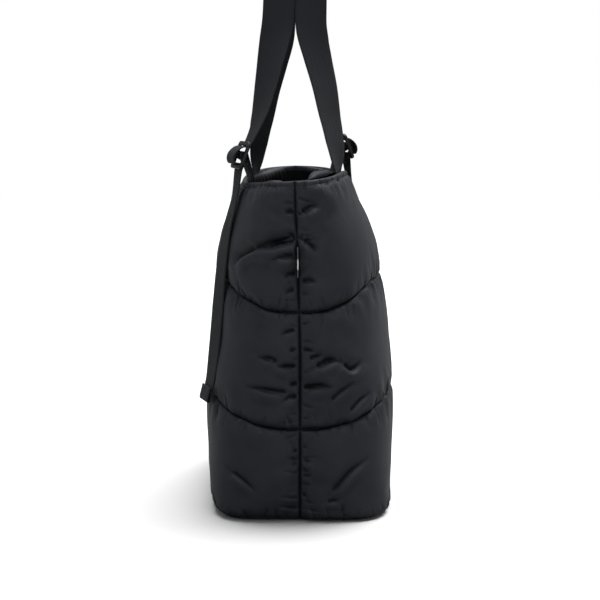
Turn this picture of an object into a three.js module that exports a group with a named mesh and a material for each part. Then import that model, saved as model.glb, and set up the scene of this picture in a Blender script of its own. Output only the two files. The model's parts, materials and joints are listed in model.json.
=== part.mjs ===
// Quilted puffer tote bag with an open mouth, standing on its base with both handles drawn up.
// The body is two padded panels, sewn together at the side seams and to a base panel, with a loose cloth
// lining. Each handle is one length of webbing: one end is sewn into the rim, and the other passes
// through a slider on a short webbing tab and hangs down as a loose tail.
// Millimetres. +Z is up, X runs along the length of the bag, and the front faces -Y.
// The origin is on the floor, under the middle of the base.

import * as THREE from "three";

// Driving dimensions
const CLEARANCE = 0.35;
const body = { width: 430, depth: 212, height: 392 };
const base = { thickness: 7, lift: 3 };
const quilting = { lowerSeam: 136, upperSeam: 271, dip: 29, dipReach: 150 };
const padding = { puff: 11, seamRadius: 34, inward: 4, cloth: 3 };
const lining = { thickness: 1.2, hang: 3, hemDepth: 34 };
const webbing = { width: 38, thickness: 1.5, slack: 0.6, layerGap: 0.9 };
const handle = { drop: 278, spacing: 240, sewn: 22, sewnGap: 1.35, gapAtTop: 1 };
const tail = { length: 280, foldedEnd: 24, standOff: 2, flare: { front: 0.24, back: 0.02 } };
const slider = {
  length: 50,
  height: 34,
  bar: 5,
  thickness: 4,
  corner: 6,
  tilt: 21,
  turn: 15,
  aboveRim: 17,
  reach: 12.5,
};
const label = { height: 34, reach: 13, thickness: 1, middle: 301 };

const FRONT = -1;
const BACK = 1;
const UP = new THREE.Vector3(0, 0, 1);

// The stitched cloth at each height, before the padding swells it. Column at is the share of the height,
// wide and deep are shares of the body's width and depth, square is the power of the rounded outline
// (2 is an ellipse), and lean is how far the section stands forward, as a share of the depth.
const SECTIONS = [
  { at: 0.0, wide: 0.985, deep: 0.945, square: 6.4, lean: 0 },
  { at: 0.03, wide: 0.995, deep: 0.96, square: 5.8, lean: 0 },
  { at: 0.09, wide: 1.0, deep: 0.97, square: 4.8, lean: 0 },
  { at: 0.2, wide: 1.0, deep: 0.99, square: 3.8, lean: 0 },
  { at: 0.35, wide: 1.0, deep: 1.04, square: 3.1, lean: 0 },
  { at: 0.5, wide: 1.0, deep: 0.985, square: 2.5, lean: 0 },
  { at: 0.625, wide: 1.0, deep: 0.955, square: 2.35, lean: 0.005 },
  { at: 0.696, wide: 1.0, deep: 0.92, square: 2.3, lean: 0.009 },
  { at: 0.77, wide: 1.0, deep: 0.84, square: 2.25, lean: 0.012 },
  { at: 0.867, wide: 1.0, deep: 0.71, square: 2.3, lean: 0.019 },
  { at: 0.916, wide: 1.0, deep: 0.64, square: 2.4, lean: 0.024 },
  { at: 1.0, wide: 1.0, deep: 0.594, square: 2.4, lean: 0.028 },
];

// How far the front's and the back's rim rises or sags, as a share of the height, from the +X side
// seam (0) to the -X one (1).
const RIM = [
  { at: 0, front: 0, back: 0 },
  { at: 0.1, front: -0.006, back: 0.006 },
  { at: 0.3, front: -0.018, back: 0.016 },
  { at: 0.5, front: -0.015, back: 0.004 },
  { at: 0.7, front: -0.012, back: -0.006 },
  { at: 0.9, front: -0.004, back: -0.002 },
  { at: 1, front: 0, back: 0 },
];

// The three channels between the quilting lines, from the base up. Column face is how full a channel is
// on the front and the back, and end how full it is beside the side seams.
const CHANNELS = [
  { face: 0.75, end: 0.95, low: () => base.lift, high: (run) => quiltLine(quilting.lowerSeam, run) },
  {
    face: 0.58,
    end: 0.95,
    low: (run) => quiltLine(quilting.lowerSeam, run),
    high: (run) => quiltLine(quilting.upperSeam, run),
  },
  {
    face: 1,
    end: 0.9,
    low: (run) => quiltLine(quilting.upperSeam, run),
    high: (run, side, share) => rimHeight(side, share),
  },
];

// Large folds that the filling and the drawn-up handles press into the panels. The along columns are
// shares of the panel from the +X side seam to the -X one, the up columns shares of the height, depth a
// share of the puff and spread a share of the seam radius.
const FOLDS = [
  { side: FRONT, along: 0.01, up: 0.842, alongEnd: 0.1, upEnd: 0.79, depth: 0.55, spread: 0.32 },
  { side: FRONT, along: 0.1, up: 0.79, alongEnd: 0.16, upEnd: 0.745, depth: 0.7, spread: 0.4 },
  { side: FRONT, along: 0.01, up: 0.395, alongEnd: 0.12, upEnd: 0.41, depth: 0.5, spread: 0.36 },
  { side: FRONT, along: 0.02, up: 0.465, alongEnd: 0.11, upEnd: 0.49, depth: 0.35, spread: 0.3 },
  { side: FRONT, along: 0.3, up: 0.84, alongEnd: 0.42, upEnd: 0.76, depth: 0.5, spread: 0.5 },
  { side: FRONT, along: 0.72, up: 0.86, alongEnd: 0.62, upEnd: 0.77, depth: 0.5, spread: 0.5 },
  { side: FRONT, along: 0.9, up: 0.45, alongEnd: 0.99, upEnd: 0.43, depth: 0.45, spread: 0.36 },
  { side: BACK, along: 0.01, up: 0.405, alongEnd: 0.1, upEnd: 0.4, depth: 0.5, spread: 0.34 },
  { side: BACK, along: 0.03, up: 0.455, alongEnd: 0.14, upEnd: 0.475, depth: 0.45, spread: 0.4 },
  { side: BACK, along: 0.07, up: 0.1, alongEnd: 0.16, upEnd: 0.2, depth: 0.4, spread: 0.36 },
  { side: BACK, along: 0.01, up: 0.895, alongEnd: 0.07, upEnd: 0.92, depth: 0.4, spread: 0.3 },
  { side: BACK, along: 0.28, up: 0.86, alongEnd: 0.38, upEnd: 0.77, depth: 0.5, spread: 0.5 },
  { side: BACK, along: 0.7, up: 0.84, alongEnd: 0.58, upEnd: 0.76, depth: 0.5, spread: 0.5 },
  { side: BACK, along: 0.88, up: 0.81, alongEnd: 0.99, upEnd: 0.83, depth: 0.5, spread: 0.34 },
];

// A handle's two legs. Column at is the share of the way up to the top of the handle, in the share of
// the half spacing that the leg keeps, out the share of the way from the top's place to the foot's, and
// turn the angle in degrees between the width of the webbing and the length of the bag.
const SLIDER_LEG = [
  { at: 0, in: 1, out: 1, turn: 15 },
  { at: 0.08, in: 0.94, out: 0.757, turn: 21 },
  { at: 0.145, in: 0.88, out: 0.629, turn: 30 },
  { at: 0.24, in: 0.8, out: 0.5, turn: 40 },
  { at: 0.387, in: 0.69, out: 0.312, turn: 56 },
  { at: 0.513, in: 0.6, out: 0.152, turn: 75 },
  { at: 0.6, in: 0.56, out: 0.05, turn: 87 },
  { at: 0.74, in: 0.51, out: 0, turn: 90 },
  { at: 0.87, in: 0.458, out: 0, turn: 90 },
  { at: 0.955, in: 0.31, out: 0, turn: 90 },
  { at: 1, in: 0, out: 0, turn: 90 },
];
const SEWN_LEG = [
  { at: 0.049, in: 0.985, out: 0.96, turn: 22 },
  { at: 0.115, in: 0.94, out: 0.9, turn: 33 },
  { at: 0.19, in: 0.88, out: 0.79, turn: 38 },
  { at: 0.241, in: 0.84, out: 0.7, turn: 42 },
  { at: 0.368, in: 0.75, out: 0.51, turn: 53 },
  { at: 0.495, in: 0.66, out: 0.25, turn: 64 },
  { at: 0.62, in: 0.58, out: 0.02, turn: 80 },
  { at: 0.755, in: 0.51, out: 0, turn: 89 },
  { at: 0.88, in: 0.455, out: 0, turn: 90 },
  { at: 0.96, in: 0.3, out: 0, turn: 90 },
];

// How far the loose tail stands off the body's face, as a share of the slider's height, and how far it
// has drifted towards the end of the bag, as a share of the webbing's width, from the slider (0) to its
// folded end (1). Column turn is the extra turn of its width in degrees. The last share of it is the
// folded end, which flares out from the body.
const TAIL = [
  { at: 0.12, off: 0.08, drift: 0.02, turn: 2 },
  { at: 0.26, off: 0.02, drift: 0.05, turn: 3 },
  { at: 0.42, off: 0, drift: 0.1, turn: 5 },
  { at: 0.6, off: 0, drift: 0.17, turn: 6 },
  { at: 0.78, off: 0, drift: 0.24, turn: 6 },
  { at: 0.9, off: 0, drift: 0.28, turn: 4 },
];

// The tail's folded end. Column along is the share of the fold's length and layer how far the webbing has
// turned back on itself.
const FOLDED_END = [
  { along: 0.45, layer: 0 },
  { along: 0.94, layer: 0 },
  { along: 0.98, layer: 0.15 },
  { along: 1, layer: 0.5 },
  { along: 0.98, layer: 0.85 },
  { along: 0.94, layer: 1 },
  { along: 0.25, layer: 1 },
];

// Fineness of the meshes, and the steps to either side of a point that show how the cloth runs there
const OUTLINE_STEPS = 160;
const NUDGE = { share: 0.01, height: 2 };
const PANEL_COLUMNS = 34;
const CHANNEL_ROWS = [0, 0.05, 0.16, 0.34, 0.56, 0.78, 0.93, 1];
const LINING_COLUMNS = 40;
const WEBBING_STEP = 14;
const TAB_STEP = 4;

// The value of a table's column at a position, on a smooth curve through its rows.
function column(table, name, at) {
  const last = table.length - 1;
  const here = THREE.MathUtils.clamp(at, table[0].at, table[last].at);
  let row = 0;
  while (row < last - 1 && here > table[row + 1].at) row += 1;
  const slope = (k) => {
    const before = table[Math.max(k - 1, 0)];
    const after = table[Math.min(k + 1, last)];
    return (after[name] - before[name]) / (after.at - before.at);
  };
  const span = table[row + 1].at - table[row].at;
  const t = (here - table[row].at) / span;
  const rise = t * t * (3 - 2 * t);
  const leave = t * (1 - t) * (1 - t) * span * slope(row);
  const arrive = t * t * (t - 1) * span * slope(row + 1);
  return THREE.MathUtils.lerp(table[row][name], table[row + 1][name], rise) + leave + arrive;
}

function leanAt(height) {
  return -body.depth * column(SECTIONS, "lean", height / body.height);
}

function rimHeight(side, share) {
  return body.height * (1 + column(RIM, side === FRONT ? "front" : "back", share));
}

// A quilting line's height at a distance from the nearer side seam, where it dips.
function quiltLine(faceHeight, run) {
  const near = Math.min(run / quilting.dipReach, 1);
  return faceHeight - (quilting.dip * (1 + Math.cos(Math.PI * near))) / 2;
}

// Half of the body's outline at a height, from the +X side seam to the -X one, with its running length.
const outlines = new Map();
function halfOutline(side, height) {
  const key = `${side} ${height.toFixed(4)}`;
  if (outlines.has(key)) return outlines.get(key);
  const at = height / body.height;
  const halfWidth = (body.width / 2) * column(SECTIONS, "wide", at);
  const halfDepth = (body.depth / 2) * column(SECTIONS, "deep", at);
  const power = 2 / column(SECTIONS, "square", at);
  const points = [];
  const runs = [0];
  for (let k = 0; k <= OUTLINE_STEPS; k += 1) {
    const angle = (Math.PI * k) / OUTLINE_STEPS;
    const [c, s] = [Math.cos(angle), Math.sin(angle)];
    const x = halfWidth * Math.sign(c) * Math.abs(c) ** power;
    const y = leanAt(height) + side * halfDepth * Math.abs(s) ** power;
    points.push(new THREE.Vector2(x, y));
    if (k > 0) runs.push(runs[k - 1] + points[k].distanceTo(points[k - 1]));
  }
  const made = { points, runs, length: runs[OUTLINE_STEPS] };
  outlines.set(key, made);
  return made;
}

// The point of the stitched cloth at a share of the way from the +X side seam to the -X one.
function clothPoint(side, share, height) {
  const { points, runs, length } = halfOutline(side, height);
  const run = THREE.MathUtils.clamp(share, 0, 1) * length;
  let k = 1;
  while (k < OUTLINE_STEPS && runs[k] < run) k += 1;
  const t = (run - runs[k - 1]) / (runs[k] - runs[k - 1]);
  const flat = points[k - 1].clone().lerp(points[k], t);
  return new THREE.Vector3(flat.x, flat.y, height);
}

// The direction in which the cloth runs, level, from the +X side seam towards the -X one.
function clothRun(side, share, height) {
  const before = clothPoint(side, share - NUDGE.share, height);
  return clothPoint(side, share + NUDGE.share, height).sub(before).normalize();
}

// The direction that faces out of the cloth. At a side seam it lies in the plane of the seam.
function clothNormal(side, share, height) {
  const below = clothPoint(side, share, Math.max(height - NUDGE.height, 0));
  const above = clothPoint(side, share, height + NUDGE.height);
  const normal = clothRun(side, share, height).cross(above.sub(below)).multiplyScalar(side);
  if (share === 0 || share === 1) normal.y = 0;
  return normal.normalize();
}

// The share of the panel's run at which it reaches a position along the bag.
function shareAt(side, x, height) {
  let [low, high] = [0, 1];
  for (let k = 0; k < 30; k += 1) {
    const middle = (low + high) / 2;
    if (clothPoint(side, middle, height).x > x) low = middle;
    else high = middle;
  }
  return (low + high) / 2;
}

function seamRun(side, share) {
  return Math.min(share, 1 - share) * halfOutline(side, body.height / 2).length;
}

// A round swelling that starts steeply at a seam, from 0 on the seam to 1 a radius away from it.
function swelling(distance, radius) {
  const near = 1 - Math.min(Math.max(distance / radius, 0), 1);
  return Math.sqrt(1 - near * near);
}

function foldDepth(side, share, height) {
  const length = halfOutline(side, body.height / 2).length;
  const here = new THREE.Vector2(share * length, height);
  let depth = 0;
  for (const fold of FOLDS.filter((row) => row.side === side)) {
    const start = new THREE.Vector2(fold.along * length, fold.up * body.height);
    const run = new THREE.Vector2(fold.alongEnd * length, fold.upEnd * body.height).sub(start);
    const t = THREE.MathUtils.clamp(here.clone().sub(start).dot(run) / run.lengthSq(), 0, 1);
    const distance = here.distanceTo(start.clone().addScaledVector(run, t));
    depth += fold.depth * Math.exp(-((distance / (fold.spread * padding.seamRadius)) ** 2));
  }
  return Math.min(depth, 1);
}

// How full the padding is at a point of a panel, from 0 on a seam to 1.
function fullnessAt(side, share, height) {
  const run = seamRun(side, share);
  const channel = CHANNELS.find((c) => height <= c.high(run, side, share)) ?? CHANNELS[CHANNELS.length - 1];
  const [low, high] = [channel.low(run), channel.high(run, side, share)];
  const across = THREE.MathUtils.clamp((height - low) / (high - low), 0, 1);
  const fullness = THREE.MathUtils.lerp(channel.end, channel.face, Math.min(run / quilting.dipReach, 1));
  return fullness * Math.sqrt(4 * across * (1 - across)) * swelling(run, padding.seamRadius);
}

function outerPoint(side, share, height) {
  const full = fullnessAt(side, share, height);
  const out = padding.puff * full * (1 - foldDepth(side, share, height));
  return clothPoint(side, share, height).addScaledVector(clothNormal(side, share, height), out);
}

// A point inside the wall or behind it, a distance inwards from the stitched cloth.
function inwardPoint(side, share, height, inward) {
  return clothPoint(side, share, height).addScaledVector(clothNormal(side, share, height), -inward);
}

function wallDepth(side, share, height) {
  return padding.cloth + padding.inward * fullnessAt(side, share, height);
}

function innerPoint(side, share, height) {
  return inwardPoint(side, share, height, wallDepth(side, share, height));
}

// Collects triangles, and turns them to face outwards.
function solidFrom(triangles) {
  let volume = 0;
  for (const [a, b, c] of triangles) volume += a.dot(b.clone().cross(c));
  const numbers = [];
  for (const [a, b, c] of triangles) {
    for (const corner of volume > 0 ? [a, b, c] : [a, c, b]) numbers.push(corner.x, corner.y, corner.z);
  }
  const geometry = new THREE.BufferGeometry();
  geometry.setAttribute("position", new THREE.Float32BufferAttribute(numbers, 3));
  geometry.computeVertexNormals();
  return geometry;
}

// The triangles of a grid of points, as quads between neighbouring rows and columns.
function gridTriangles(grid, flipped) {
  const triangles = [];
  for (let i = 0; i + 1 < grid.length; i += 1) {
    for (let j = 0; j + 1 < grid[i].length; j += 1) {
      const [a, b, c, d] = [grid[i][j], grid[i + 1][j], grid[i + 1][j + 1], grid[i][j + 1]];
      triangles.push(flipped ? [a, c, b] : [a, b, c], flipped ? [a, d, c] : [a, c, d]);
    }
  }
  return triangles;
}

// A wall between two grids of the same size, closed along its four edges.
function wallFrom(outer, inner) {
  const last = outer.length - 1;
  const end = outer[0].length - 1;
  const strip = (line) => [line.map(([i, j]) => outer[i][j]), line.map(([i, j]) => inner[i][j])];
  const rows = [...outer.keys()];
  const columns = [...outer[0].keys()];
  return solidFrom([
    ...gridTriangles(outer, false),
    ...gridTriangles(inner, true),
    ...gridTriangles(strip(rows.map((i) => [i, end])), true),
    ...gridTriangles(strip(rows.map((i) => [i, 0])), false),
    ...gridTriangles(strip(columns.map((j) => [0, j])), true),
    ...gridTriangles(strip(columns.map((j) => [last, j])), false),
  ]);
}

// Columns lie closer together near the side seams, where the panels turn.
function panelShares(count) {
  return Array.from({ length: count + 1 }, (_, k) => {
    const even = k / count;
    return (even + (1 - Math.cos(Math.PI * even)) / 2) / 2;
  });
}

function panelHeights(side, share) {
  const run = seamRun(side, share);
  return CHANNELS.flatMap((channel, k) => {
    const [low, high] = [channel.low(run), channel.high(run, side, share)];
    return CHANNEL_ROWS.slice(k ? 1 : 0).map((t) => THREE.MathUtils.lerp(low, high, t));
  });
}

// One padded panel: a face and half of each end of the bag.
function makePanel(side) {
  const sideways = (point, share) => {
    if (share === 0 || share === 1) point.y += (side * CLEARANCE) / 2;
    return point;
  };
  const grid = (pointAt) =>
    panelShares(PANEL_COLUMNS).map((share) =>
      panelHeights(side, share).map((height) => sideways(pointAt(side, share, height), share)),
    );
  return wallFrom(grid(outerPoint), grid(innerPoint));
}

// A whole ring round the body, from the front's +X side seam, without its repeated first point.
function ring(shares, pointAt) {
  const half = (side) => shares.slice(0, -1).map((share) => pointAt(side, share));
  const back = shares.slice(1).reverse().map((share) => pointAt(BACK, share));
  return [...half(FRONT), ...back];
}

// A closed solid from rings, with a flat cap on the first and the last.
function solidFromRings(rings) {
  const closed = rings.map((points) => [...points, points[0]]);
  const cap = (points, flipped) => {
    const middle = points.reduce((sum, p) => sum.add(p), new THREE.Vector3()).divideScalar(points.length);
    return points.map((p, k) => {
      const next = points[(k + 1) % points.length];
      return flipped ? [middle, next, p] : [middle, p, next];
    });
  };
  return solidFrom([
    ...gridTriangles(closed, false),
    ...cap(rings[0], false),
    ...cap(rings[rings.length - 1], true),
  ]);
}

function makeBase() {
  const shares = panelShares(PANEL_COLUMNS);
  const layer = (z, inset) =>
    ring(shares, (side, share) => {
      const inward = wallDepth(side, share, base.thickness) + CLEARANCE + inset;
      return inwardPoint(side, share, base.lift, inward).setZ(z);
    });
  const bevel = base.lift / 2;
  return solidFromRings([layer(0, bevel), layer(bevel, 0), layer(base.thickness, 0)]);
}

// The lining is sewn in at the rim, behind the ends of the webbing, and hangs free below the hem.
function makeLining() {
  const shares = panelShares(LINING_COLUMNS / 2);
  const hemBehind = 2 * (handle.sewnGap + webbing.thickness) + webbing.layerGap;
  const floor = base.thickness + CLEARANCE;
  const bottom = base.lift + base.thickness + lining.hang;
  const wall = (drop, extra) => (side, share) => {
    const height = THREE.MathUtils.lerp(rimHeight(side, share), bottom, drop);
    return inwardPoint(side, share, height, wallDepth(side, share, height) + hemBehind + extra);
  };
  const hem = lining.hemDepth / body.height;
  const drops = [0, hem / 3, (2 * hem) / 3, hem, 0.25, 0.4, 0.6, 0.8, 0.93, 1];
  const outside = drops.map((drop) => ring(shares, wall(drop, 0)));
  const inside = drops.map((drop) => ring(shares, wall(drop, lining.thickness)));
  const flat = (points, z, inset) =>
    points.map((p) => new THREE.Vector3(p.x * (1 - inset), p.y * (1 - inset), z));
  const tuck = (2 * lining.hang) / body.depth;
  const last = drops.length - 1;
  return solidFromRings([
    flat(outside[last], floor, tuck),
    ...outside.reverse(),
    ...inside,
    flat(inside[last], floor + lining.thickness, tuck),
  ]);
}

// A flat strip of webbing along stations, each with its place and the direction of its width.
function makeStrip(stations, step = WEBBING_STEP) {
  const halfWidth = webbing.width / 2;
  const curve = new THREE.CatmullRomCurve3(
    stations.map((s) => s.place),
    false,
    "centripetal",
  );
  const spans = stations.length - 1;
  const samples = [];
  for (let k = 0; k < spans; k += 1) {
    const reach = stations[k].place.distanceTo(stations[k + 1].place);
    const steps = Math.max(1, Math.round(reach / step));
    for (let n = 0; n < steps; n += 1) samples.push(k + n / steps);
  }
  samples.push(spans);
  const edges = samples.map((sample) => {
    const k = Math.min(Math.floor(sample), spans - 1);
    const place = curve.getPoint(sample / spans);
    const along = curve.getTangent(sample / spans);
    const width = stations[k].width.clone().lerp(stations[k + 1].width, sample - k);
    width.addScaledVector(along, -width.dot(along)).normalize().multiplyScalar(halfWidth);
    const thick = new THREE.Vector3().crossVectors(along, width).normalize();
    thick.multiplyScalar(webbing.thickness / 2);
    const at = (w, face) => place.clone().addScaledVector(width, w).addScaledVector(thick, face);
    return (face) => [at(1, face), at(-1, face)];
  });
  return wallFrom(
    edges.map((edge) => edge(1)),
    edges.map((edge) => edge(-1)),
  );
}

// A place beside a handle: towards its slider's end, out from the middle of the rim, and up.
function place(side, toSlider, out, height) {
  return new THREE.Vector3(-side * toSlider, leanAt(Math.min(height, body.height)) + side * out, height);
}

// The direction of the webbing's width for a turn in degrees from the length of the bag.
function widthAt(side, turn) {
  const angle = THREE.MathUtils.degToRad(turn);
  return new THREE.Vector3(-side * Math.cos(angle), -side * Math.sin(angle), 0);
}

// Stations of webbing sewn between a panel and the lining, from its end up to the rim. Layer 1 lies
// against the panel and layer 2 behind it. The width of the webbing points away from the handle's middle.
function sewnStations(side, toSlider, layer) {
  const x = -side * toSlider;
  const behind = handle.sewnGap + (layer - 1) * webbing.layerGap + (layer - 0.5) * webbing.thickness;
  const top = rimHeight(side, shareAt(side, x, body.height));
  return [0, 0.5, 1].map((t) => {
    const height = top - handle.sewn * (1 - t);
    const share = shareAt(side, x, height);
    const inward = wallDepth(side, share, height) + behind;
    const width = towardSlider(side, clothRun(side, share, height)).multiplyScalar(Math.sign(toSlider));
    return { place: inwardPoint(side, share, height, inward), width };
  });
}

// A direction along the bag, turned to point towards the slider's end of a side's handle.
function towardSlider(side, direction) {
  return direction.clone().multiplyScalar(direction.x * side > 0 ? -1 : 1);
}

// The middle of a slider, and its own directions: up along its height and out of its face. The twist of
// the webbing turns it about the vertical.
function sliderFrame(side) {
  const toSlider = handle.spacing / 2;
  const foot = sewnStations(side, toSlider, 1)[2].place;
  const tilt = THREE.MathUtils.degToRad(slider.tilt);
  const rise = slider.aboveRim + (slider.height / 2) * Math.cos(tilt);
  const middle = foot.clone().add(new THREE.Vector3(0, side * slider.reach, rise));
  const turn = THREE.MathUtils.degToRad(slider.turn);
  const up = new THREE.Vector3(0, -side * Math.sin(tilt), Math.cos(tilt)).applyAxisAngle(UP, turn);
  const out = new THREE.Vector3(0, side * Math.cos(tilt), Math.sin(tilt)).applyAxisAngle(UP, turn);
  const at = (along, off) => middle.clone().addScaledVector(up, along).addScaledVector(out, off);
  return { middle, up, out, at };
}

// Distances from a slider's middle: to the middle of its outer bars, to the middle of its slots, and
// from a bar's face to the middle of webbing that lies on it.
const outerBar = (slider.height - slider.bar) / 2;
const slotMiddle = outerBar / 2;
const onBar = webbing.slack + webbing.thickness / 2;

// The webbing's way down through a slider: behind the top bar, out in a loose loop over the middle bar,
// and in again behind the bottom bar. Column along is the share of the way from the middle bar to an
// outer bar, and off the distance out of the slider as a share of its height.
const LOOP = [
  { along: 0.62, off: 0.13 },
  { along: 0.3, off: 0.245 },
  { along: -0.2, off: 0.32 },
  { along: -0.65, off: 0.28 },
  { along: -0.86, off: 0.19 },
];

function threadedStations(side) {
  const { at } = sliderFrame(side);
  const width = widthAt(side, slider.turn);
  const behind = -(slider.thickness / 2 + onBar);
  const edge = outerBar - slider.bar / 2;
  const corner = onBar * Math.SQRT1_2;
  const places = [
    [outerBar + slider.bar, behind * 1.2],
    [outerBar + slider.bar / 4, behind],
    [edge + onBar / 2, behind],
    [edge - corner, behind + onBar - corner],
    [edge - onBar, -slider.thickness / 5],
    ...LOOP.map((row) => [row.along * outerBar, row.off * slider.height]),
    [-edge + onBar, slider.thickness / 2],
    [-edge + onBar, -slider.thickness / 5],
    [-edge + corner, behind + onBar - corner],
    [-edge - onBar / 2, behind],
    [-outerBar - slider.bar / 4, behind],
  ];
  return places.map(([along, off]) => ({ place: at(along, off), width }));
}

function legStations(side, table, foot, sign) {
  const top = body.height + handle.drop;
  const topOut = (webbing.width + handle.gapAtTop) / 2;
  const footOut = side * (foot.y - leanAt(body.height));
  return table.map((row) => {
    const height = THREE.MathUtils.lerp(foot.z, top, row.at);
    const toSlider = (sign * row.in * handle.spacing) / 2;
    const out = THREE.MathUtils.lerp(topOut, footOut, row.out);
    return {
      place: place(side, toSlider, out, height),
      width: widthAt(side, sign > 0 ? row.turn : 180 - row.turn),
    };
  });
}

// The loose tail hangs against the body's face, and its end is folded back and stitched.
function tailStations(side, start) {
  const standOff = tail.standOff + webbing.thickness / 2;
  const hang = TAIL.map((row) => {
    const height = start.z - row.at * tail.length;
    const x = -side * (handle.spacing / 2 + row.drift * webbing.width);
    const share = shareAt(side, x, height);
    const face = outerPoint(side, share, height);
    const turn = THREE.MathUtils.degToRad(-side * row.turn);
    const run = towardSlider(side, clothRun(side, share, height));
    const width = run.applyAxisAngle(UP, turn);
    const out = width.clone().cross(UP).normalize();
    return { place: face.addScaledVector(out, standOff + row.off * slider.height), width, out };
  });
  const last = hang[hang.length - 1];
  const flare = side === FRONT ? tail.flare.front : tail.flare.back;
  const down = new THREE.Vector3(0, 0, -1).addScaledVector(last.out, flare).normalize();
  const apart = webbing.thickness + 1.5 * webbing.layerGap;
  const back = FOLDED_END.map(({ along, layer }) => {
    const end = last.place.clone().addScaledVector(down, along * tail.foldedEnd);
    return { place: end.addScaledVector(last.out, layer * apart), width: last.width };
  });
  return [...hang, ...back];
}

function makeHandle(side) {
  const sewn = sewnStations(side, -handle.spacing / 2, 1);
  const threaded = threadedStations(side);
  const sewnLeg = legStations(side, SEWN_LEG, sewn[2].place, -1);
  const sliderLeg = legStations(side, SLIDER_LEG, threaded[0].place, 1).slice(1).reverse();
  const hanging = tailStations(side, threaded[threaded.length - 1].place);
  return makeStrip([...sewn, ...sewnLeg, ...sliderLeg, ...threaded, ...hanging]);
}

// The short doubled tab that holds a slider by its middle bar.
function makeTab(side) {
  const { at } = sliderFrame(side);
  const width = widthAt(side, slider.turn);
  const layers = [1, 2].map((layer) => sewnStations(side, handle.spacing / 2, layer));
  const edge = slider.bar / 2 + onBar;
  const face = slider.thickness / 2 + onBar;
  const corner = onBar * (1 - Math.SQRT1_2);
  const places = [
    [-edge, -face - onBar],
    [-edge, 0],
    [-edge + corner, face - corner],
    [-slider.bar / 4, face],
    [slider.bar / 4, face],
    [edge - corner, face - corner],
    [edge, 0],
    [edge - corner, corner - face],
    [slider.bar / 4, -face - webbing.thickness],
  ];
  const loop = places.map(([along, off]) => ({ place: at(along, off), width }));
  return makeStrip([...layers[0], ...loop, ...layers[1].reverse()], TAB_STEP);
}

function roundedRectangle(Path, width, height, radius) {
  const [x, y] = [width / 2, height / 2];
  const path = new Path();
  path.moveTo(-x + radius, -y);
  path.absarc(x - radius, -y + radius, radius, -Math.PI / 2, 0);
  path.absarc(x - radius, y - radius, radius, 0, Math.PI / 2);
  path.absarc(-x + radius, y - radius, radius, Math.PI / 2, Math.PI);
  path.absarc(-x + radius, -y + radius, radius, Math.PI, 1.5 * Math.PI);
  path.closePath();
  return path;
}

// A three-bar slider, with a slot on each side of its middle bar.
function makeSlider() {
  const shape = roundedRectangle(THREE.Shape, slider.length, slider.height, slider.corner);
  const slotHeight = outerBar - slider.bar;
  const slotLength = webbing.width + 4 * CLEARANCE;
  for (const up of [-slotMiddle, slotMiddle]) {
    const slot = roundedRectangle(THREE.Path, slotLength, slotHeight, slotHeight / 5);
    shape.holes.push(new THREE.Path(slot.getPoints(2).map((p) => new THREE.Vector2(p.x, p.y + up))));
  }
  const bevel = slider.thickness / 5;
  const geometry = new THREE.ExtrudeGeometry(shape, {
    depth: slider.thickness - 2 * bevel,
    bevelThickness: bevel,
    bevelSize: bevel,
    bevelOffset: -bevel,
    bevelSegments: 1,
    curveSegments: 4,
  });
  return geometry.translate(0, 0, bevel - slider.thickness / 2);
}

// The seam label is a folded strip of ribbon that stands out of the +X side seam, clear of the padding
// that swells on both sides of it.
function makeLabel() {
  const beside = panelShares(PANEL_COLUMNS)[1];
  const halfGap = label.thickness / 2 + CLEARANCE;
  const starts = [-1, 0, 1].flatMap((step) => {
    const height = label.middle + (step * label.height) / 2;
    return [FRONT, BACK].map((side) => {
      const seam = outerPoint(side, 0, height);
      const swell = outerPoint(side, beside, height);
      const steps = Math.min(halfGap / Math.abs(swell.y - seam.y), 1);
      return THREE.MathUtils.lerp(seam.x, swell.x, steps);
    });
  });
  const start = Math.max(...starts) + CLEARANCE;
  const geometry = new THREE.BoxGeometry(label.reach, label.thickness, label.height);
  return geometry.translate(start + label.reach / 2, leanAt(label.middle), label.middle);
}

const material = (color, roughness, metalness = 0) =>
  new THREE.MeshStandardMaterial({ color, roughness, metalness });
const materials = {
  shell: material(0x25272b, 0.62),
  lining: material(0x15161a, 0.8),
  webbing: material(0x232628, 0.75),
  slider: material(0x1b1c1e, 0.3),
  label: material(0x6d6f72, 0.8),
};

const tote = new THREE.Group();
function add(name, geometry, finish) {
  const mesh = new THREE.Mesh(geometry, finish);
  mesh.name = name;
  tote.add(mesh);
  return mesh;
}

add("base_panel", makeBase(), materials.shell);
add("lining", makeLining(), materials.lining);
add("side_label", makeLabel(), materials.label);
for (const [word, side] of [
  ["front", FRONT],
  ["back", BACK],
]) {
  add(`${word}_panel`, makePanel(side), materials.shell);
  add(`${word}_handle`, makeHandle(side), materials.webbing);
  add(`${word}_slider_tab`, makeTab(side), materials.webbing);
  const { middle, up, out } = sliderFrame(side);
  const mesh = add(`${word}_slider`, makeSlider(), materials.slider);
  mesh.position.copy(middle);
  mesh.rotation.setFromRotationMatrix(new THREE.Matrix4().makeBasis(up.clone().cross(out), up, out));
}

export default tote;
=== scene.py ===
# %% [markdown]
# # A quilted puffer tote bag
#
# This script dresses the plain solids of a tote bag as the real thing: a nylon shell over soft filling,
# quilted in three channels, with two handles of woven webbing that run through plastic sliders.
# Blender loads the solids first. They are the frame: every piece below is made in the same place and
# at the same size, in metres, with Z up and the front of the bag facing -Y.

import json
import math

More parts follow.
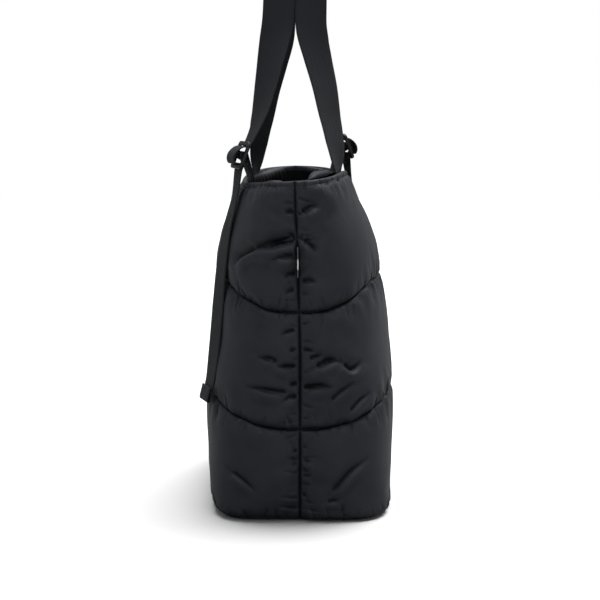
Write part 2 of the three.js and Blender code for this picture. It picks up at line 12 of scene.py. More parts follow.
import bmesh
import bpy
import numpy as np
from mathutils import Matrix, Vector

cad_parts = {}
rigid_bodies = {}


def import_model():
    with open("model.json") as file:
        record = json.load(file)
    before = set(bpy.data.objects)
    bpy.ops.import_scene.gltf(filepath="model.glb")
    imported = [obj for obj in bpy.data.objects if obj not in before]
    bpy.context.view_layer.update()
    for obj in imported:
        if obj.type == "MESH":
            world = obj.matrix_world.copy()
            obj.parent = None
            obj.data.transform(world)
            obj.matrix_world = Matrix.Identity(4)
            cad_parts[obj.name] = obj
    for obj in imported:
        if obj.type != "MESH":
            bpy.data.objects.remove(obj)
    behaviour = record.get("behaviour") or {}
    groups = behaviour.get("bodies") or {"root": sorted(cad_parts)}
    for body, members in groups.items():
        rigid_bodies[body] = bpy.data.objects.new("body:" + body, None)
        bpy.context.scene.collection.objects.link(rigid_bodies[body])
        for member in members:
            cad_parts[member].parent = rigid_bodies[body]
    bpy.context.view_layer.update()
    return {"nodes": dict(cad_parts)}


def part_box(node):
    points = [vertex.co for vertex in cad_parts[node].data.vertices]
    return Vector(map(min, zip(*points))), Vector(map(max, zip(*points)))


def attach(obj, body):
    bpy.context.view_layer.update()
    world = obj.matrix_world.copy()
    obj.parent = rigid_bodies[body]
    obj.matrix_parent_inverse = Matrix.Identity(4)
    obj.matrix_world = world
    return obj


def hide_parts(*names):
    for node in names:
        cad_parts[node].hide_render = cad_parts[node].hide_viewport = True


bpy.ops.wm.read_factory_settings(use_empty=True)
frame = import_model()
print("frame nodes:", ", ".join(sorted(frame["nodes"])))

# %% [markdown]
# ## Sizes
#
# The sizes below are millimetres, because that is how a bag is drawn up. MM turns them into metres when
# a mesh is made. They are the driving sizes of the solids, so a piece that is worked out from them lands
# where its solid is.

# %% Driving sizes

MM = 0.001
FRONT = -1
BACK = 1
CLEARANCE = 0.35
BODY_WIDTH, BODY_DEPTH, BODY_HEIGHT = 430.0, 212.0, 392.0
BASE_LIFT, BASE_THICKNESS = 3.0, 7.0
LOWER_SEAM, UPPER_SEAM, SEAM_DIP, DIP_REACH = 136.0, 271.0, 29.0, 150.0
PUFF, SEAM_RADIUS, PAD_INWARD, CLOTH = 11.0, 34.0, 4.0, 3.0
WEBBING_WIDTH, WEBBING_THICKNESS, WEBBING_SLACK, LAYER_GAP = 38.0, 1.5, 0.6, 0.9
HANDLE_DROP, HANDLE_SPACING, SEWN_LENGTH, SEWN_GAP, GAP_AT_TOP = 278.0, 240.0, 22.0, 1.35, 0.2
TAIL_LENGTH, FOLDED_LENGTH, TAIL_STAND_OFF = 280.0, 24.0, 2.0
TAIL_FLARE = {FRONT: 0.24, BACK: 0.02}
SLIDER_LENGTH, SLIDER_HEIGHT, SLIDER_BAR, SLIDER_THICKNESS = 50.0, 34.0, 5.0, 4.0
SLIDER_CORNER, SLIDER_TILT, SLIDER_TURN, SLIDER_RISE, SLIDER_REACH = 6.0, 21.0, 15.0, 17.0, 12.5

# %% [markdown]
# ## The shape of the body
#
# A soft bag has no flat faces, so its form is a table of level sections. Each row says how wide and how
# deep the cloth is at a share of the height, how square its outline is, and how far it leans forward.
# A smooth curve through the rows gives every height in between. The two quilting lines sag beside the
# side seams, where the faces of the bag turn its corners.

# %% Tables of the form

SECTIONS = {
    "at": [0, 0.03, 0.09, 0.2, 0.35, 0.5, 0.625, 0.696, 0.77, 0.867, 0.916, 1],
    "wide": [0.985, 0.995, 1, 1, 1, 1, 1, 1, 1, 1, 1, 1],
    "deep": [0.945, 0.96, 0.97, 0.99, 1.04, 0.985, 0.955, 0.92, 0.84, 0.71, 0.64, 0.594],
    "square": [6.4, 5.8, 4.8, 3.8, 3.1, 2.5, 2.35, 2.3, 2.25, 2.3, 2.4, 2.4],
    "lean": [0, 0, 0, 0, 0, 0, 0.005, 0.009, 0.012, 0.019, 0.024, 0.028],
}
RIM = {
    "at": [0, 0.1, 0.3, 0.5, 0.7, 0.9, 1],
    FRONT: [0, -0.006, -0.018, -0.015, -0.012, -0.004, 0],
    BACK: [0, 0.006, 0.016, 0.004, -0.006, -0.002, 0],
}
CHANNEL_FULLNESS = {"face": [0.75, 0.58, 1.0], "end": [0.95, 0.95, 0.9]}


def column(table, name, at):
    """A table's column at one or many positions, on a smooth curve through its rows."""
    places, values = np.array(table["at"], float), np.array(table[name], float)
    here = np.clip(np.asarray(at, float), places[0], places[-1])
    row = np.clip(np.searchsorted(places, here, side="left") - 1, 0, len(places) - 2)
    before = np.maximum(np.arange(len(places)) - 1, 0)
    after = np.minimum(np.arange(len(places)) + 1, len(places) - 1)
    slope = (values[after] - values[before]) / (places[after] - places[before])
    span = places[row + 1] - places[row]
    t = (here - places[row]) / span
    rise = t * t * (3 - 2 * t)
    leave = t * (1 - t) ** 2 * span * slope[row]
    arrive = t * t * (t - 1) * span * slope[row + 1]
    return values[row] + (values[row + 1] - values[row]) * rise + leave + arrive


def lean_at(height):
    return -BODY_DEPTH * column(SECTIONS, "lean", np.asarray(height) / BODY_HEIGHT)


def rim_height(side, share):
    return BODY_HEIGHT * (1 + column(RIM, side, share))


def quilt_line(face_height, run):
    near = np.minimum(np.asarray(run, float) / DIP_REACH, 1)
    return face_height - SEAM_DIP * (1 + np.cos(np.pi * near)) / 2


# %% [markdown]
# The class below is half of the bag's wall, from the +X side seam (share 0) to the -X one (share 1).
# It turns a share and a height into a point of the stitched cloth. The points come from a lookup grid
# that is worked out once, because tens of thousands of them are needed.

# %% Half of the wall

LOOKUP_STEP = 2.0
LOOKUP_SHARES = 601
OUTLINE_STEPS = 1200


class Half:
    def __init__(self, side):
        self.side = side
        self.heights = np.arange(-4 * LOOKUP_STEP, BODY_HEIGHT * 1.06, LOOKUP_STEP)
        self.shares = np.linspace(0, 1, LOOKUP_SHARES)
        rows = [self.outline(height) for height in self.heights]
        self.table = np.array([points for points, length in rows])
        self.length = float(self.outline(BODY_HEIGHT / 2)[1])

    def outline(self, height):
        at = height / BODY_HEIGHT
        half_width = BODY_WIDTH / 2 * column(SECTIONS, "wide", at)
        half_depth = BODY_DEPTH / 2 * column(SECTIONS, "deep", at)
        power = 2 / column(SECTIONS, "square", at)
        angle = np.linspace(0, np.pi, OUTLINE_STEPS + 1)
        c, s = np.cos(angle), np.sin(angle)
        x = half_width * np.sign(c) * np.abs(c) ** power
        y = lean_at(height) + self.side * half_depth * np.abs(s) ** power
        run = np.concatenate([[0], np.cumsum(np.hypot(np.diff(x), np.diff(y)))])
        even = self.shares * run[-1]
        return np.stack([np.interp(even, run, x), np.interp(even, run, y)], -1), run[-1]

    def point(self, share, height):
        share, height = np.broadcast_arrays(np.asarray(share, float), np.asarray(height, float))
        u = np.clip(share, 0, 1) * (LOOKUP_SHARES - 1)
        v = np.clip((height - self.heights[0]) / LOOKUP_STEP, 0, len(self.heights) - 1.001)
        i, j = v.astype(int), np.minimum(u.astype(int), LOOKUP_SHARES - 2)
        a, b = (v - i)[..., None], (u - j)[..., None]
        lower = self.table[i, j] * (1 - b) + self.table[i, j + 1] * b
        upper = self.table[i + 1, j] * (1 - b) + self.table[i + 1, j + 1] * b
        return np.concatenate([lower * (1 - a) + upper * a, height[..., None]], -1)

    def along(self, share, height):
        """The level direction of the cloth, from the +X side seam towards the -X one."""
        nudge = 0.012
        run = self.point(np.asarray(share) + nudge, height) - self.point(np.asarray(share) - nudge, height)
        return unit(run)

    def normal(self, share, height):
        nudge = 3.0
        height = np.asarray(height, float)
        rise = self.point(share, height + nudge) - self.point(share, np.maximum(height - nudge, -3.0))
        out = np.cross(self.along(share, height), rise) * self.side
        at_seam = (np.asarray(share) <= 0) | (np.asarray(share) >= 1)
        out[..., 1] = np.where(np.broadcast_to(at_seam, out[..., 1].shape), 0, out[..., 1])
        return unit(out)

    def run_from_seam(self, share):
        return np.minimum(share, 1 - np.asarray(share)) * self.length

    def share_at(self, x, height):
        low, high = 0.0, 1.0
        for _ in range(30):
            middle = (low + high) / 2
            if self.point(middle, height)[0] > x:
                low = middle
            else:
                high = middle
        return (low + high) / 2

    def channel_edges(self, share):
        """Heights of the base seam, the two quilting lines and the rim at each share."""
        run = self.run_from_seam(share)
        lower, upper = quilt_line(LOWER_SEAM, run), quilt_line(UPPER_SEAM, run)
        return np.stack([np.full_like(run, BASE_LIFT), lower, upper, rim_height(self.side, share)])

    def fullness(self, share, height, hem=0.0):
        """How full the filling is, from 0 on a seam to 1. It ends under a hem of the given depth."""
        share, height = np.broadcast_arrays(np.asarray(share, float), np.asarray(height, float))
        run = self.run_from_seam(share)
        edges = self.channel_edges(share)
        edges[3] -= hem
        channel = (height > edges[1]).astype(int) + (height > edges[2])
        low = np.take_along_axis(edges, channel[None], 0)[0]
        high = np.take_along_axis(edges, channel[None] + 1, 0)[0]
        across = np.clip((height - low) / (high - low), 0, 1)
        face, end = np.array(CHANNEL_FULLNESS["face"]), np.array(CHANNEL_FULLNESS["end"])
        full = end[channel] + (face - end)[channel] * np.minimum(run / DIP_REACH, 1)
        near = 1 - np.clip(run / SEAM_RADIUS, 0, 1)
        return full * np.sqrt(4 * across * (1 - across)) * np.sqrt(1 - near * near)

    def wall_depth(self, share, height):
        return CLOTH + PAD_INWARD * self.fullness(share, height)

    def inward(self, share, height, distance):
        out = self.normal(share, height)
        return self.point(share, height) - out * np.asarray(distance, float)[..., None]


def unit(vectors):
    return vectors / np.maximum(np.linalg.norm(vectors, axis=-1, keepdims=True), 1e-12)


halves = {side: Half(side) for side in (FRONT, BACK)}
print("half outline:", round(halves[FRONT].length), "mm long at mid height")

# %% [markdown]
# ## Padded panels
#
# Each panel is one face of the bag and half of each end. On the real bag it is nylon, filling and
# a backing, stitched through along the quilting lines. Drawing its folds by hand would take days, so the
# cloth solver makes them: the seams are pinned, a light pressure stands for the filling, and the cloth
# is cut a little larger than its place, so that it has to buckle beside every seam.
# A fold that the solver can't guess, such as one where the handles pull, is a tuck: a short line of
# cloth that is held down while the rest swells around it.

# %% Grid of a panel

COLUMN_STEP = (2.6, 4.4)
ROW_STEP = (1.9, 3.7)


def graded(length, steps, reach):
    """Positions from 0 to length, close together near both ends, with the given steps."""
    fine, coarse = steps
    dense = np.linspace(0, length, 2000)
    near = np.minimum(dense, length - dense)
    density = 1 / (fine + (coarse - fine) * np.clip(near / reach, 0, 1))
    total = np.concatenate([[0], np.cumsum((density[1:] + density[:-1]) / 2 * np.diff(dense))])
    count = 2 * int(round(total[-1] / 2))
    return np.interp(np.linspace(0, total[-1], count + 1), total, dense)


def panel_grid(half):
    """Shares and heights of a panel's grid, and the rows that lie on its seams."""
    shares = graded(half.length, COLUMN_STEP, 150.0) / half.length
    edges = half.channel_edges(shares)
    heights, seam_rows = [edges[0]], [0]
    for low, high in zip(edges[:-1], edges[1:]):
        typical = float(np.median(high - low))
        across = graded(typical, ROW_STEP, 30.0)[1:] / typical
        heights += [low + (high - low) * t for t in across]
        seam_rows.append(seam_rows[-1] + len(across))
    return shares, np.array(heights), seam_rows

# %% [markdown]
# ### Tucks
#
# A tuck is a path on the end of the bag, in millimetres: across (Y) and up (Z). The table lists the folds
# of the +X end, where the side seam, the handles and the filling pull the cloth about. The other end
# gets the same folds mirrored, and a seeded loop adds short puckers across the quilting lines.

# %% Tucks of the ends

TUCKS = [
    {"y": (2, 14, 24), "z": (355, 363, 363), "deep": 4.5},
    {"y": (-4, -12, -18), "z": (356, 358, 355), "deep": 3.0},
    {"y": (-1, -28, -56), "z": (328, 322, 315), "deep": 10.0},
    {"y": (-50, -71, -80), "z": (317, 304, 288), "deep": 5.0},
    {"y": (-5, -21, -37), "z": (310, 307, 302), "deep": 4.5},
    {"y": (3, 11, 21), "z": (325, 322, 309), "deep": 4.5},
    {"y": (-3, -13, -19), "z": (287, 286, 282), "deep": 3.5},
    {"y": (2, 12, 20), "z": (278, 279, 276), "deep": 3.5},
    {"y": (-6, -18), "z": (269, 264), "deep": 2.5},
    {"y": (-5, -13, -23), "z": (223, 221, 217), "deep": 3.0},
    {"y": (-5, -13), "z": (200, 199), "deep": 2.5},
    {"y": (2, 9, 16), "z": (197, 199, 199), "deep": 2.5},
    {"y": (10, 20, 28), "z": (190, 193, 196), "deep": 3.5},
    {"y": (17, 36, 50), "z": (180, 188, 185), "deep": 5.0},
    {"y": (50, 61, 71), "z": (185, 176, 186), "deep": 4.0},
    {"y": (-5, -18, -28), "z": (180, 181, 183), "deep": 3.5},
    {"y": (-28, -33, -51), "z": (183, 189, 190), "deep": 3.5},
    {"y": (-2, -14), "z": (161, 158), "deep": 2.5},
    {"y": (-12, -34, -64), "z": (151, 153, 157), "deep": 4.0},
    {"y": (2, 23, 41), "z": (155, 159, 156), "deep": 4.5},
    {"y": (-2, -12, -25), "z": (147, 145, 139), "deep": 3.5},
    {"y": (35, 43, 64), "z": (140, 148, 163), "deep": 2.5},
    {"y": (57, 71, 84), "z": (126, 140, 148), "deep": 2.5},
    {"y": (35, 57, 82), "z": (33, 57, 75), "deep": 3.5},
    {"y": (31, 46), "z": (24, 27), "deep": 2.5},
    {"y": (-81, -64, -49), "z": (58, 47, 35), "deep": 2.5},
    {"y": (-2, -9), "z": (83, 83), "deep": 2.0},
    {"y": (2, 14), "z": (71, 72), "deep": 2.0},
    {"y": (-2, -9), "z": (68, 68), "deep": 2.0},
    {"y": (2, 14), "z": (54, 55), "deep": 2.0},
    {"y": (1, 8), "z": (31, 31), "deep": 2.0},
]
# TUCK_LIP and PUCKER_LIP are the height of the pillow that swells under a fold, as a share of its depth.
TUCK_LIP, PUCKER_LIP = 0.42, 0.3
TUCK_DEPTH = 1.5
TUCK_WIDTHS = {"upper": 2.3, "lower": 1.0, "lip": 3.0, "pillow": 2.0}
PUCKER_SPACING = (6.0, 21.0)
PUCKER_LENGTH = (7.0, 26.0)
PUCKER_DEPTH = (0.4, 2.2)
PUCKER_SLIM = 0.85
PUCKER_LEAN = {"line": 0.4, "side": 0.3}
FOLD_REACH, FOLD_MARGIN, FOLD_CUT = 12.0, 6.0, 1.6
FOLD_FADE = {"start": 6.0, "least": 0.25, "end": 2.2}
CREASE_POWER = 1.35
FAR_AWAY = 9999.0


def signed_distance(u, v, path_u, path_v):
    """Distance to a path of straight legs, positive above it, and the share of the path that is nearest."""
    best = np.full(u.shape, np.inf)
    above = np.ones(u.shape)
    share = np.zeros(u.shape)
    legs = np.hypot(np.diff(path_u), np.diff(path_v))
    before = np.concatenate([[0], np.cumsum(legs)])
    for k, leg in enumerate(legs):
        du, dv = path_u[k + 1] - path_u[k], path_v[k + 1] - path_v[k]
        t = np.clip(((u - path_u[k]) * du + (v - path_v[k]) * dv) / leg**2, 0, 1)
        off_u, off_v = u - path_u[k] - t * du, v - path_v[k] - t * dv
        gap = np.hypot(off_u, off_v)
        nearer = gap < best
        turn = np.sign((off_v * du - off_u * dv) * (1 if du >= 0 else -1))
        best = np.where(nearer, gap, best)
        above = np.where(nearer, turn, above)
        share = np.where(nearer, (before[k] + t * leg) / before[-1], share)
    return best * above, share


def smooth_path(path_u, path_v):
    """A path's points on a smooth curve, so that a fold has no corners."""
    count = len(path_u)
    at = np.linspace(0, count - 1, 4 * (count - 1) + 1)
    if count < 3:
        return np.interp(at, range(count), path_u), np.interp(at, range(count), path_v)
    table = {"at": list(range(count)), "u": path_u, "v": path_v}
    return column(table, "u", at), column(table, "v", at)


def fold(u, v, path_u, path_v, deep, lip, slim=1.0):
    """The rise of the cloth beside one fold: a crease along the path and a pillow under it."""
    path_u, path_v = smooth_path(path_u, path_v)
    reach = FOLD_REACH * math.sqrt(deep) + FOLD_MARGIN
    rise = np.zeros(u.shape)
    inside = (u > min(path_u) - reach) & (u < max(path_u) + reach)
    inside &= (v > min(path_v) - reach) & (v < max(path_v) + reach)
    if not inside.any():
        return rise
    distance, share = signed_distance(u[inside], v[inside], path_u, path_v)
    size = math.sqrt(deep) * slim
    width = np.where(distance > 0, TUCK_WIDTHS["upper"], TUCK_WIDTHS["lower"]) * size
    crease = -deep * np.exp(-((np.abs(distance) / width) ** CREASE_POWER))
    from_lip = (np.abs(distance) - TUCK_WIDTHS["lip"] * size) / (TUCK_WIDTHS["pillow"] * size)
    pillow = np.where(distance < 0, deep * lip * np.exp(-from_lip**2), 0)
    fade = np.clip(share * FOLD_FADE["start"], FOLD_FADE["least"], 1)
    fade = fade * np.clip((1 - share) * FOLD_FADE["end"], 0, 1)
    rise[inside] = (crease + pillow) * fade * np.clip(FOLD_CUT - np.abs(distance) / reach * FOLD_CUT, 0, 1)
    return rise


def all_folds(side, points, run, rng):
    """The rise of the cloth from the folds in the table and the seeded puckers beside the seams."""
    half = halves[side]
    y, z = points[..., 1], points[..., 2]
    rise = np.zeros(run.shape)
    for end in (1, -1):
        at_end = points[..., 0] * end > BODY_WIDTH * 0.3
        across = np.where(at_end, y, FAR_AWAY)
        for tuck in TUCKS:
            rise += fold(across, z, tuck["y"], tuck["z"], TUCK_DEPTH * tuck["deep"], TUCK_LIP)
    shares = np.linspace(0, 1, 400)
    for line in half.channel_edges(shares):
        place = rng.uniform(*PUCKER_SPACING)
        while place < half.length - 4:
            height = np.interp(place / half.length, shares, line)
            for way in (-1, 1):
                length = rng.uniform(*PUCKER_LENGTH)
                lean = rng.uniform(-PUCKER_LEAN["line"], PUCKER_LEAN["line"])
                path = (place, place + lean * length), (height, height + way * length)
                rise += fold(run, z, *path, rng.uniform(*PUCKER_DEPTH), PUCKER_LIP, PUCKER_SLIM)
            place += rng.uniform(*PUCKER_SPACING)
    for seam, way in ((0, 1), (half.length, -1)):
        height = rng.uniform(*PUCKER_SPACING)
        while height < BODY_HEIGHT - 12:
            length = rng.uniform(*PUCKER_LENGTH)
            lean = rng.uniform(-PUCKER_LEAN["side"], PUCKER_LEAN["side"])
            path = (seam, seam + way * length), (height, height + lean * length)
            rise += fold(run, z, *path, rng.uniform(*PUCKER_DEPTH), PUCKER_LIP, PUCKER_SLIM)
            height += rng.uniform(*PUCKER_SPACING)
    return rise


# %% [markdown]
# ### Cloth solver
#
# Blender's Cloth modifier moves a grid of points step by step. Here it has no gravity: a pressure pushes the
# cloth outwards, the pinned rows hold it at the seams, and the group called taut says where the cloth was
# cut without slack. The solved places are read back, and the trial object is thrown away, so no modifier
# is left.

# %% Cloth solver

SIM_FRAMES = 20
HEM = 6.0
PRESSURE = 8.0
STIFFNESS = 15.0
SLACK_FACE, SLACK_SEAM = 0.025, 0.08
SEAM_GAP = 0.1


def grid_faces(rows, columns, flipped=False, first=0):
    index = np.arange(rows * columns).reshape(rows, columns) + first
    corners = [index[:-1, :-1], index[:-1, 1:], index[1:, 1:], index[1:, :-1]]
    faces = np.stack(corners, -1).reshape(-1, 4)
    return faces[:, ::-1] if flipped else faces


def mesh_object(name, points, faces):
    """A mesh from points in millimetres, with smooth faces."""
    mesh = bpy.data.meshes.new(name)
    places = (np.asarray(points).reshape(-1, 3) * MM).tolist()
    mesh.from_pydata(places, [], [list(map(int, face)) for face in faces])
    mesh.validate()
    mesh.shade_smooth()
    made = bpy.data.objects.new(name, mesh)
    bpy.context.scene.collection.objects.link(made)
    return made


def vertex_group(made, name, weights):
    group = made.vertex_groups.new(name=name)
    levels = np.round(weights.ravel(), 2)
    for level in np.unique(levels[levels > 0]):
        group.add(np.flatnonzero(levels == level).tolist(), float(level), "REPLACE")


def drape(start, faces, pins, slack):
    """The points of a grid of cloth once the filling has swollen it between its pins."""
    rows, columns = start.shape[:2]
    made = mesh_object("cloth_trial", start, faces)
    vertex_group(made, "pins", pins)
    vertex_group(made, "taut", 1 - slack / SLACK_SEAM)
    cloth = made.modifiers.new("cloth", "CLOTH")
    settings = cloth.settings
    settings.vertex_group_mass = "pins"
    settings.vertex_group_shrink = "taut"
    settings.shrink_min = -SLACK_SEAM
    settings.shrink_max = 0.0
    settings.quality = 6
    settings.mass = 0.15
    settings.tension_stiffness = STIFFNESS
    settings.compression_stiffness = STIFFNESS
    settings.shear_stiffness = STIFFNESS / 3
    settings.bending_stiffness = 0.15
    settings.use_pressure = True
    settings.uniform_pressure_force = PRESSURE
    settings.effector_weights.gravity = 0.0
    cloth.collision_settings.use_collision = False
    cloth.point_cache.frame_start = 1
    cloth.point_cache.frame_end = SIM_FRAMES
    for number in range(1, SIM_FRAMES + 1):
        bpy.context.scene.frame_set(number)
    solved = made.evaluated_get(bpy.context.evaluated_depsgraph_get())
    places = np.empty(rows * columns * 3)
    solved.data.vertices.foreach_get("co", places)
    bpy.data.objects.remove(made)
    bpy.context.scene.frame_set(1)
    return places.reshape(rows, columns, 3) / MM


# %% [markdown]
# ### From draped cloth to a padded wall
#
# The solver knows nothing of the solids, so its broad swelling is set back to theirs and only the
# folds and puckers are kept. Then every square of the grid is split in four on a smooth curve, channel by
# channel, so that the seams stay sharp. The inner face of the wall closes the panel.
#
# Three things are added on the way. The filling sags a little over each quilting line, a narrow hem is
# rolled along the rim, and an attribute called crease holds painted shade: how deep each point lies in a fold,
# and a band along each seam. The shell's material is painted darker by it, because soft light hardly darkens a
# fold a millimetre or two deep.

# %% Building a panel

MOST_OUT, MOST_IN = 7.0, 10.0
WRINKLE_SHARE, WRINKLE_REACH = 0.8, (2.5, 28.0)
SEAM_SINK, SEAM_WIDTH = 2.4, 2.6
BASE_SPREAD, BASE_SPREAD_REACH = {FRONT: 0.0, BACK: 5.0}, 15.0
OVERHANG = {"drop": 3.0, "peak": 5.5, "ends": 22.0}
# CREASE_REACH, CREASE_DEPTH and SEAM_SHADE size the painted shade in folds and along the seams.
CREASE_REACH, CREASE_DEPTH = 5.0, 1.5
SEAM_SHADE = {"above": 5.4, "below": 2.3, "side": 1.7}
HEM_ROLL = 1.3
START_SWELL, START_UNEVEN = 0.75, 0.12
SLACK_REACH = {"side": 45.0, "line": 20.0}
CALM_REACH, HELD_REACH, SPREAD_REACH = 6.0, 5.0, 12.0
SAG_WAVE = {"least": 0.35, "short": 0.65, "short_step": 9.0, "long": 0.4, "long_step": 31.0, "at_end": 0.1}
SHADE_WAVE = {"least": 0.55, "more": 0.7, "step": 5.0}


def blurred(values, rows_mm, columns_mm, radius):
    """A soft average over a radius, by two box filters in each direction."""
    for axis, spacing in ((0, rows_mm), (1, columns_mm)):
        half = max(1, int(round(radius / spacing / 2)))
        for _ in range(2):
            padded = np.concatenate([
                np.repeat(np.take(values, [0], axis), half, axis),
                values,
                np.repeat(np.take(values, [-1], axis), half, axis),
            ], axis)
            total = np.cumsum(padded, axis)
            total = np.concatenate([np.zeros_like(np.take(total, [0], axis)), total], axis)
            size = 2 * half + 1
            count = values.shape[axis]
            upper = np.take(total, np.arange(size, size + count), axis)
            values = (upper - np.take(total, np.arange(count), axis)) / size
    return values


def finer(points, axis):
    """Twice as many points along an axis, on a smooth curve through the old ones."""
    points = np.moveaxis(points, axis, 0)
    first = 2 * points[0] - points[1]
    last = 2 * points[-1] - points[-2]
    wide = np.concatenate([first[None], points, last[None]])
    middle = (9 * (wide[1:-2] + wide[2:-1]) - wide[:-3] - wide[3:]) / 16
    made = np.empty((2 * len(points) - 1,) + points.shape[1:])
    made[0::2] = points
    made[1::2] = middle
    return np.moveaxis(made, 0, axis)


def finer_panel(points, seam_rows):
    blocks = [finer(points[low:high + 1], 0) for low, high in zip(seam_rows[:-1], seam_rows[1:])]
    joined = np.concatenate([blocks[0]] + [block[1:] for block in blocks[1:]])
    return finer(joined, 1)


def closed_wall(name, outer, inner, side):
    """A wall between a fine outer grid and an inner grid of half as many squares each way."""
    rows, columns = outer.shape[:2]
    inner_rows, inner_columns = inner.shape[:2]
    first = rows * columns
    flipped = side == BACK
    faces = [tuple(f) for f in grid_faces(rows, columns, flipped)]
    faces += [tuple(f) for f in grid_faces(inner_rows, inner_columns, not flipped, first)]

    def border(outer_line, inner_line, turned):
        for k in range(len(inner_line) - 1):
            ring = [*outer_line[2 * k:2 * k + 3], inner_line[k + 1], inner_line[k]]
            faces.append(tuple(ring if turned != flipped else ring[::-1]))

    near = np.arange(first).reshape(rows, columns)
    far = np.arange(inner_rows * inner_columns).reshape(inner_rows, inner_columns) + first
    border(near[0], far[0], False)
    border(near[-1], far[-1], True)
    border(near[:, 0], far[:, 0], True)
    border(near[:, -1], far[:, -1], False)
    return mesh_object(name, np.concatenate([outer.reshape(-1, 3), inner.reshape(-1, 3)]), faces)


def uneven(positions, spacing, rng):
    """A smooth random value from 0 to 1 along a line, with a new value at every spacing."""
    knots = rng.uniform(0, 1, int(positions.max() / spacing) + 4)
    return np.interp(positions / spacing, np.arange(len(knots)), knots)


def overhang(half, shares, heights, seam_rows, rng):
    """How far the filling sags over the quilting line below it."""
    sag = np.zeros(heights.shape)
    for row in seam_rows[1:-1]:
        above = heights - heights[row]
        hump = np.where(above > 0, above / OVERHANG["peak"] * np.exp(1 - above / OVERHANG["peak"]), 0)
        ends = np.clip(half.run_from_seam(shares) / OVERHANG["ends"], SAG_WAVE["at_end"], 1)
        run = shares[0] * half.length
        wave = SAG_WAVE["least"] + SAG_WAVE["short"] * uneven(run, SAG_WAVE["short_step"], rng)
        wave = wave + SAG_WAVE["long"] * uneven(run, SAG_WAVE["long_step"], rng)
        sag += OVERHANG["drop"] * hump * ends * wave
    return sag


def painted_crease_shade(half, outer, surface, shares, run, seam_rows, spacing, rng):
    """Painted shade for each point, from 0 to 1: how deep it lies in a fold, and a band along each seam."""
    hollow = blurred(surface, spacing[0] / 2, spacing[1] / 2, CREASE_REACH) - surface
    deep = np.clip(hollow / CREASE_DEPTH, 0, 1)
    for row in seam_rows[1:-1]:
        above = outer[..., 2] - outer[2 * row, :, 2]
        thick = np.where(above > 0, SEAM_SHADE["above"], SEAM_SHADE["below"])
        thick = thick * (SHADE_WAVE["least"] + SHADE_WAVE["more"] * uneven(run[0], SHADE_WAVE["step"], rng))
        deep = np.maximum(deep, np.exp(-((above / thick) ** 2)))
    return np.maximum(deep, np.exp(-((half.run_from_seam(shares) / SEAM_SHADE["side"]) ** 2)))

# %% One panel, from its grid to its mesh

seam_lines = {}


def make_panel(name, side):
    half = halves[side]
    rng = np.random.default_rng(11 + side)
    shares, heights, seam_rows = panel_grid(half)
    grid_shares = np.broadcast_to(shares, heights.shape)
    out = half.normal(grid_shares, heights)
    swell = PUFF * half.fullness(grid_shares, heights, HEM)
    cloth = half.point(grid_shares, heights)
    start = cloth + out * (START_SWELL * swell + rng.normal(0, START_UNEVEN, heights.shape))[..., None]
    pins = np.zeros(heights.shape)
    pins[seam_rows] = 1
    pins[:, [0, -1]] = 1
    run = half.run_from_seam(grid_shares)
    from_line = np.min([np.abs(heights - heights[row]) for row in seam_rows], 0)
    beside = np.exp(-((run / SLACK_REACH["side"]) ** 2)) + np.exp(-((from_line / SLACK_REACH["line"]) ** 2))
    beside = np.clip(beside, 0, 1)
    slack = SLACK_FACE + (SLACK_SEAM - SLACK_FACE) * beside
    trial_faces = grid_faces(*heights.shape, flipped=side == FRONT)
    draped = drape(start, trial_faces, pins, slack)
    moved = draped - cloth
    rise = (moved * out).sum(-1)
    sideways = moved - out * rise[..., None]
    spacing = (BODY_HEIGHT / heights.shape[0], half.length / heights.shape[1])
    wrinkle = blurred(rise, *spacing, WRINKLE_REACH[0]) - blurred(rise, *spacing, WRINKLE_REACH[1])
    wrinkle -= wrinkle.mean(1, keepdims=True)
    near_seam = np.clip(np.minimum(run, from_line) / CALM_REACH, 0, 1)
    band = heights[-1] - heights
    hem = HEM_ROLL * np.sqrt(np.clip(4 * band * (HEM - band), 0, None)) / HEM
    hem *= np.clip(run / HELD_REACH, 0, 1)
    mended = swell + hem + wrinkle * WRINKLE_SHARE * near_seam
    spread = BASE_SPREAD[side] * np.clip(run / SPREAD_REACH, 0, 1)
    mended += spread * np.exp(-(((heights - BASE_LIFT) / BASE_SPREAD_REACH) ** 2))
    mended -= SEAM_SINK * np.exp(-from_line / SEAM_WIDTH) * (band > HEM)
    mended[:, [0, -1]] = 0
    mended = np.clip(mended, -MOST_IN, swell + MOST_OUT)
    sideways *= near_seam[..., None] * WRINKLE_SHARE
    sideways[..., 2] -= overhang(half, grid_shares, heights, seam_rows, rng)
    outer = finer_panel(cloth + out * mended[..., None] + sideways, seam_rows)
    fine_shares = finer(shares, 0)
    fine_run = np.broadcast_to(fine_shares * half.length, outer.shape[:2])
    folds = all_folds(side, outer, fine_run, rng)
    held = np.clip(half.run_from_seam(fine_shares) / HELD_REACH, 0, 1) ** 0.5
    outer += half.normal(np.broadcast_to(fine_shares, folds.shape), outer[..., 2]) * (folds * held)[..., None]
    surface = finer_panel(mended[..., None], seam_rows)[..., 0] + folds * held
    # Painted shade: how deep each point lies in a fold, and a band along each seam, kept as the crease
    # attribute.
    crease = painted_crease_shade(half, outer, surface, fine_shares, fine_run, seam_rows, spacing, rng)
    hem_row = int(np.argmin(np.abs(band.mean(1) - HEM)))
    seam_lines[side] = [outer[2 * row] for row in (seam_rows[1], seam_rows[2], hem_row)]
    depth = half.wall_depth(grid_shares, heights)
    inner = cloth - out * depth[..., None]
    for wall in (outer, inner):
        wall[:, [0, -1], 1] += side * SEAM_GAP / 2
    made = closed_wall(name, outer, inner, side)
    layer = made.data.attributes.new("crease", "FLOAT", "POINT")
    layer.data.foreach_set("value", np.concatenate([crease.ravel(), np.zeros(inner[..., 0].size)]))
    print(name, "grid", heights.shape, "faces", len(made.data.polygons), "rise", rise.max().round(1))
    return made

# %% Both panels

panels = {side: make_panel(name, side) for name, side in (("shell_front", FRONT), ("shell_back", BACK))}

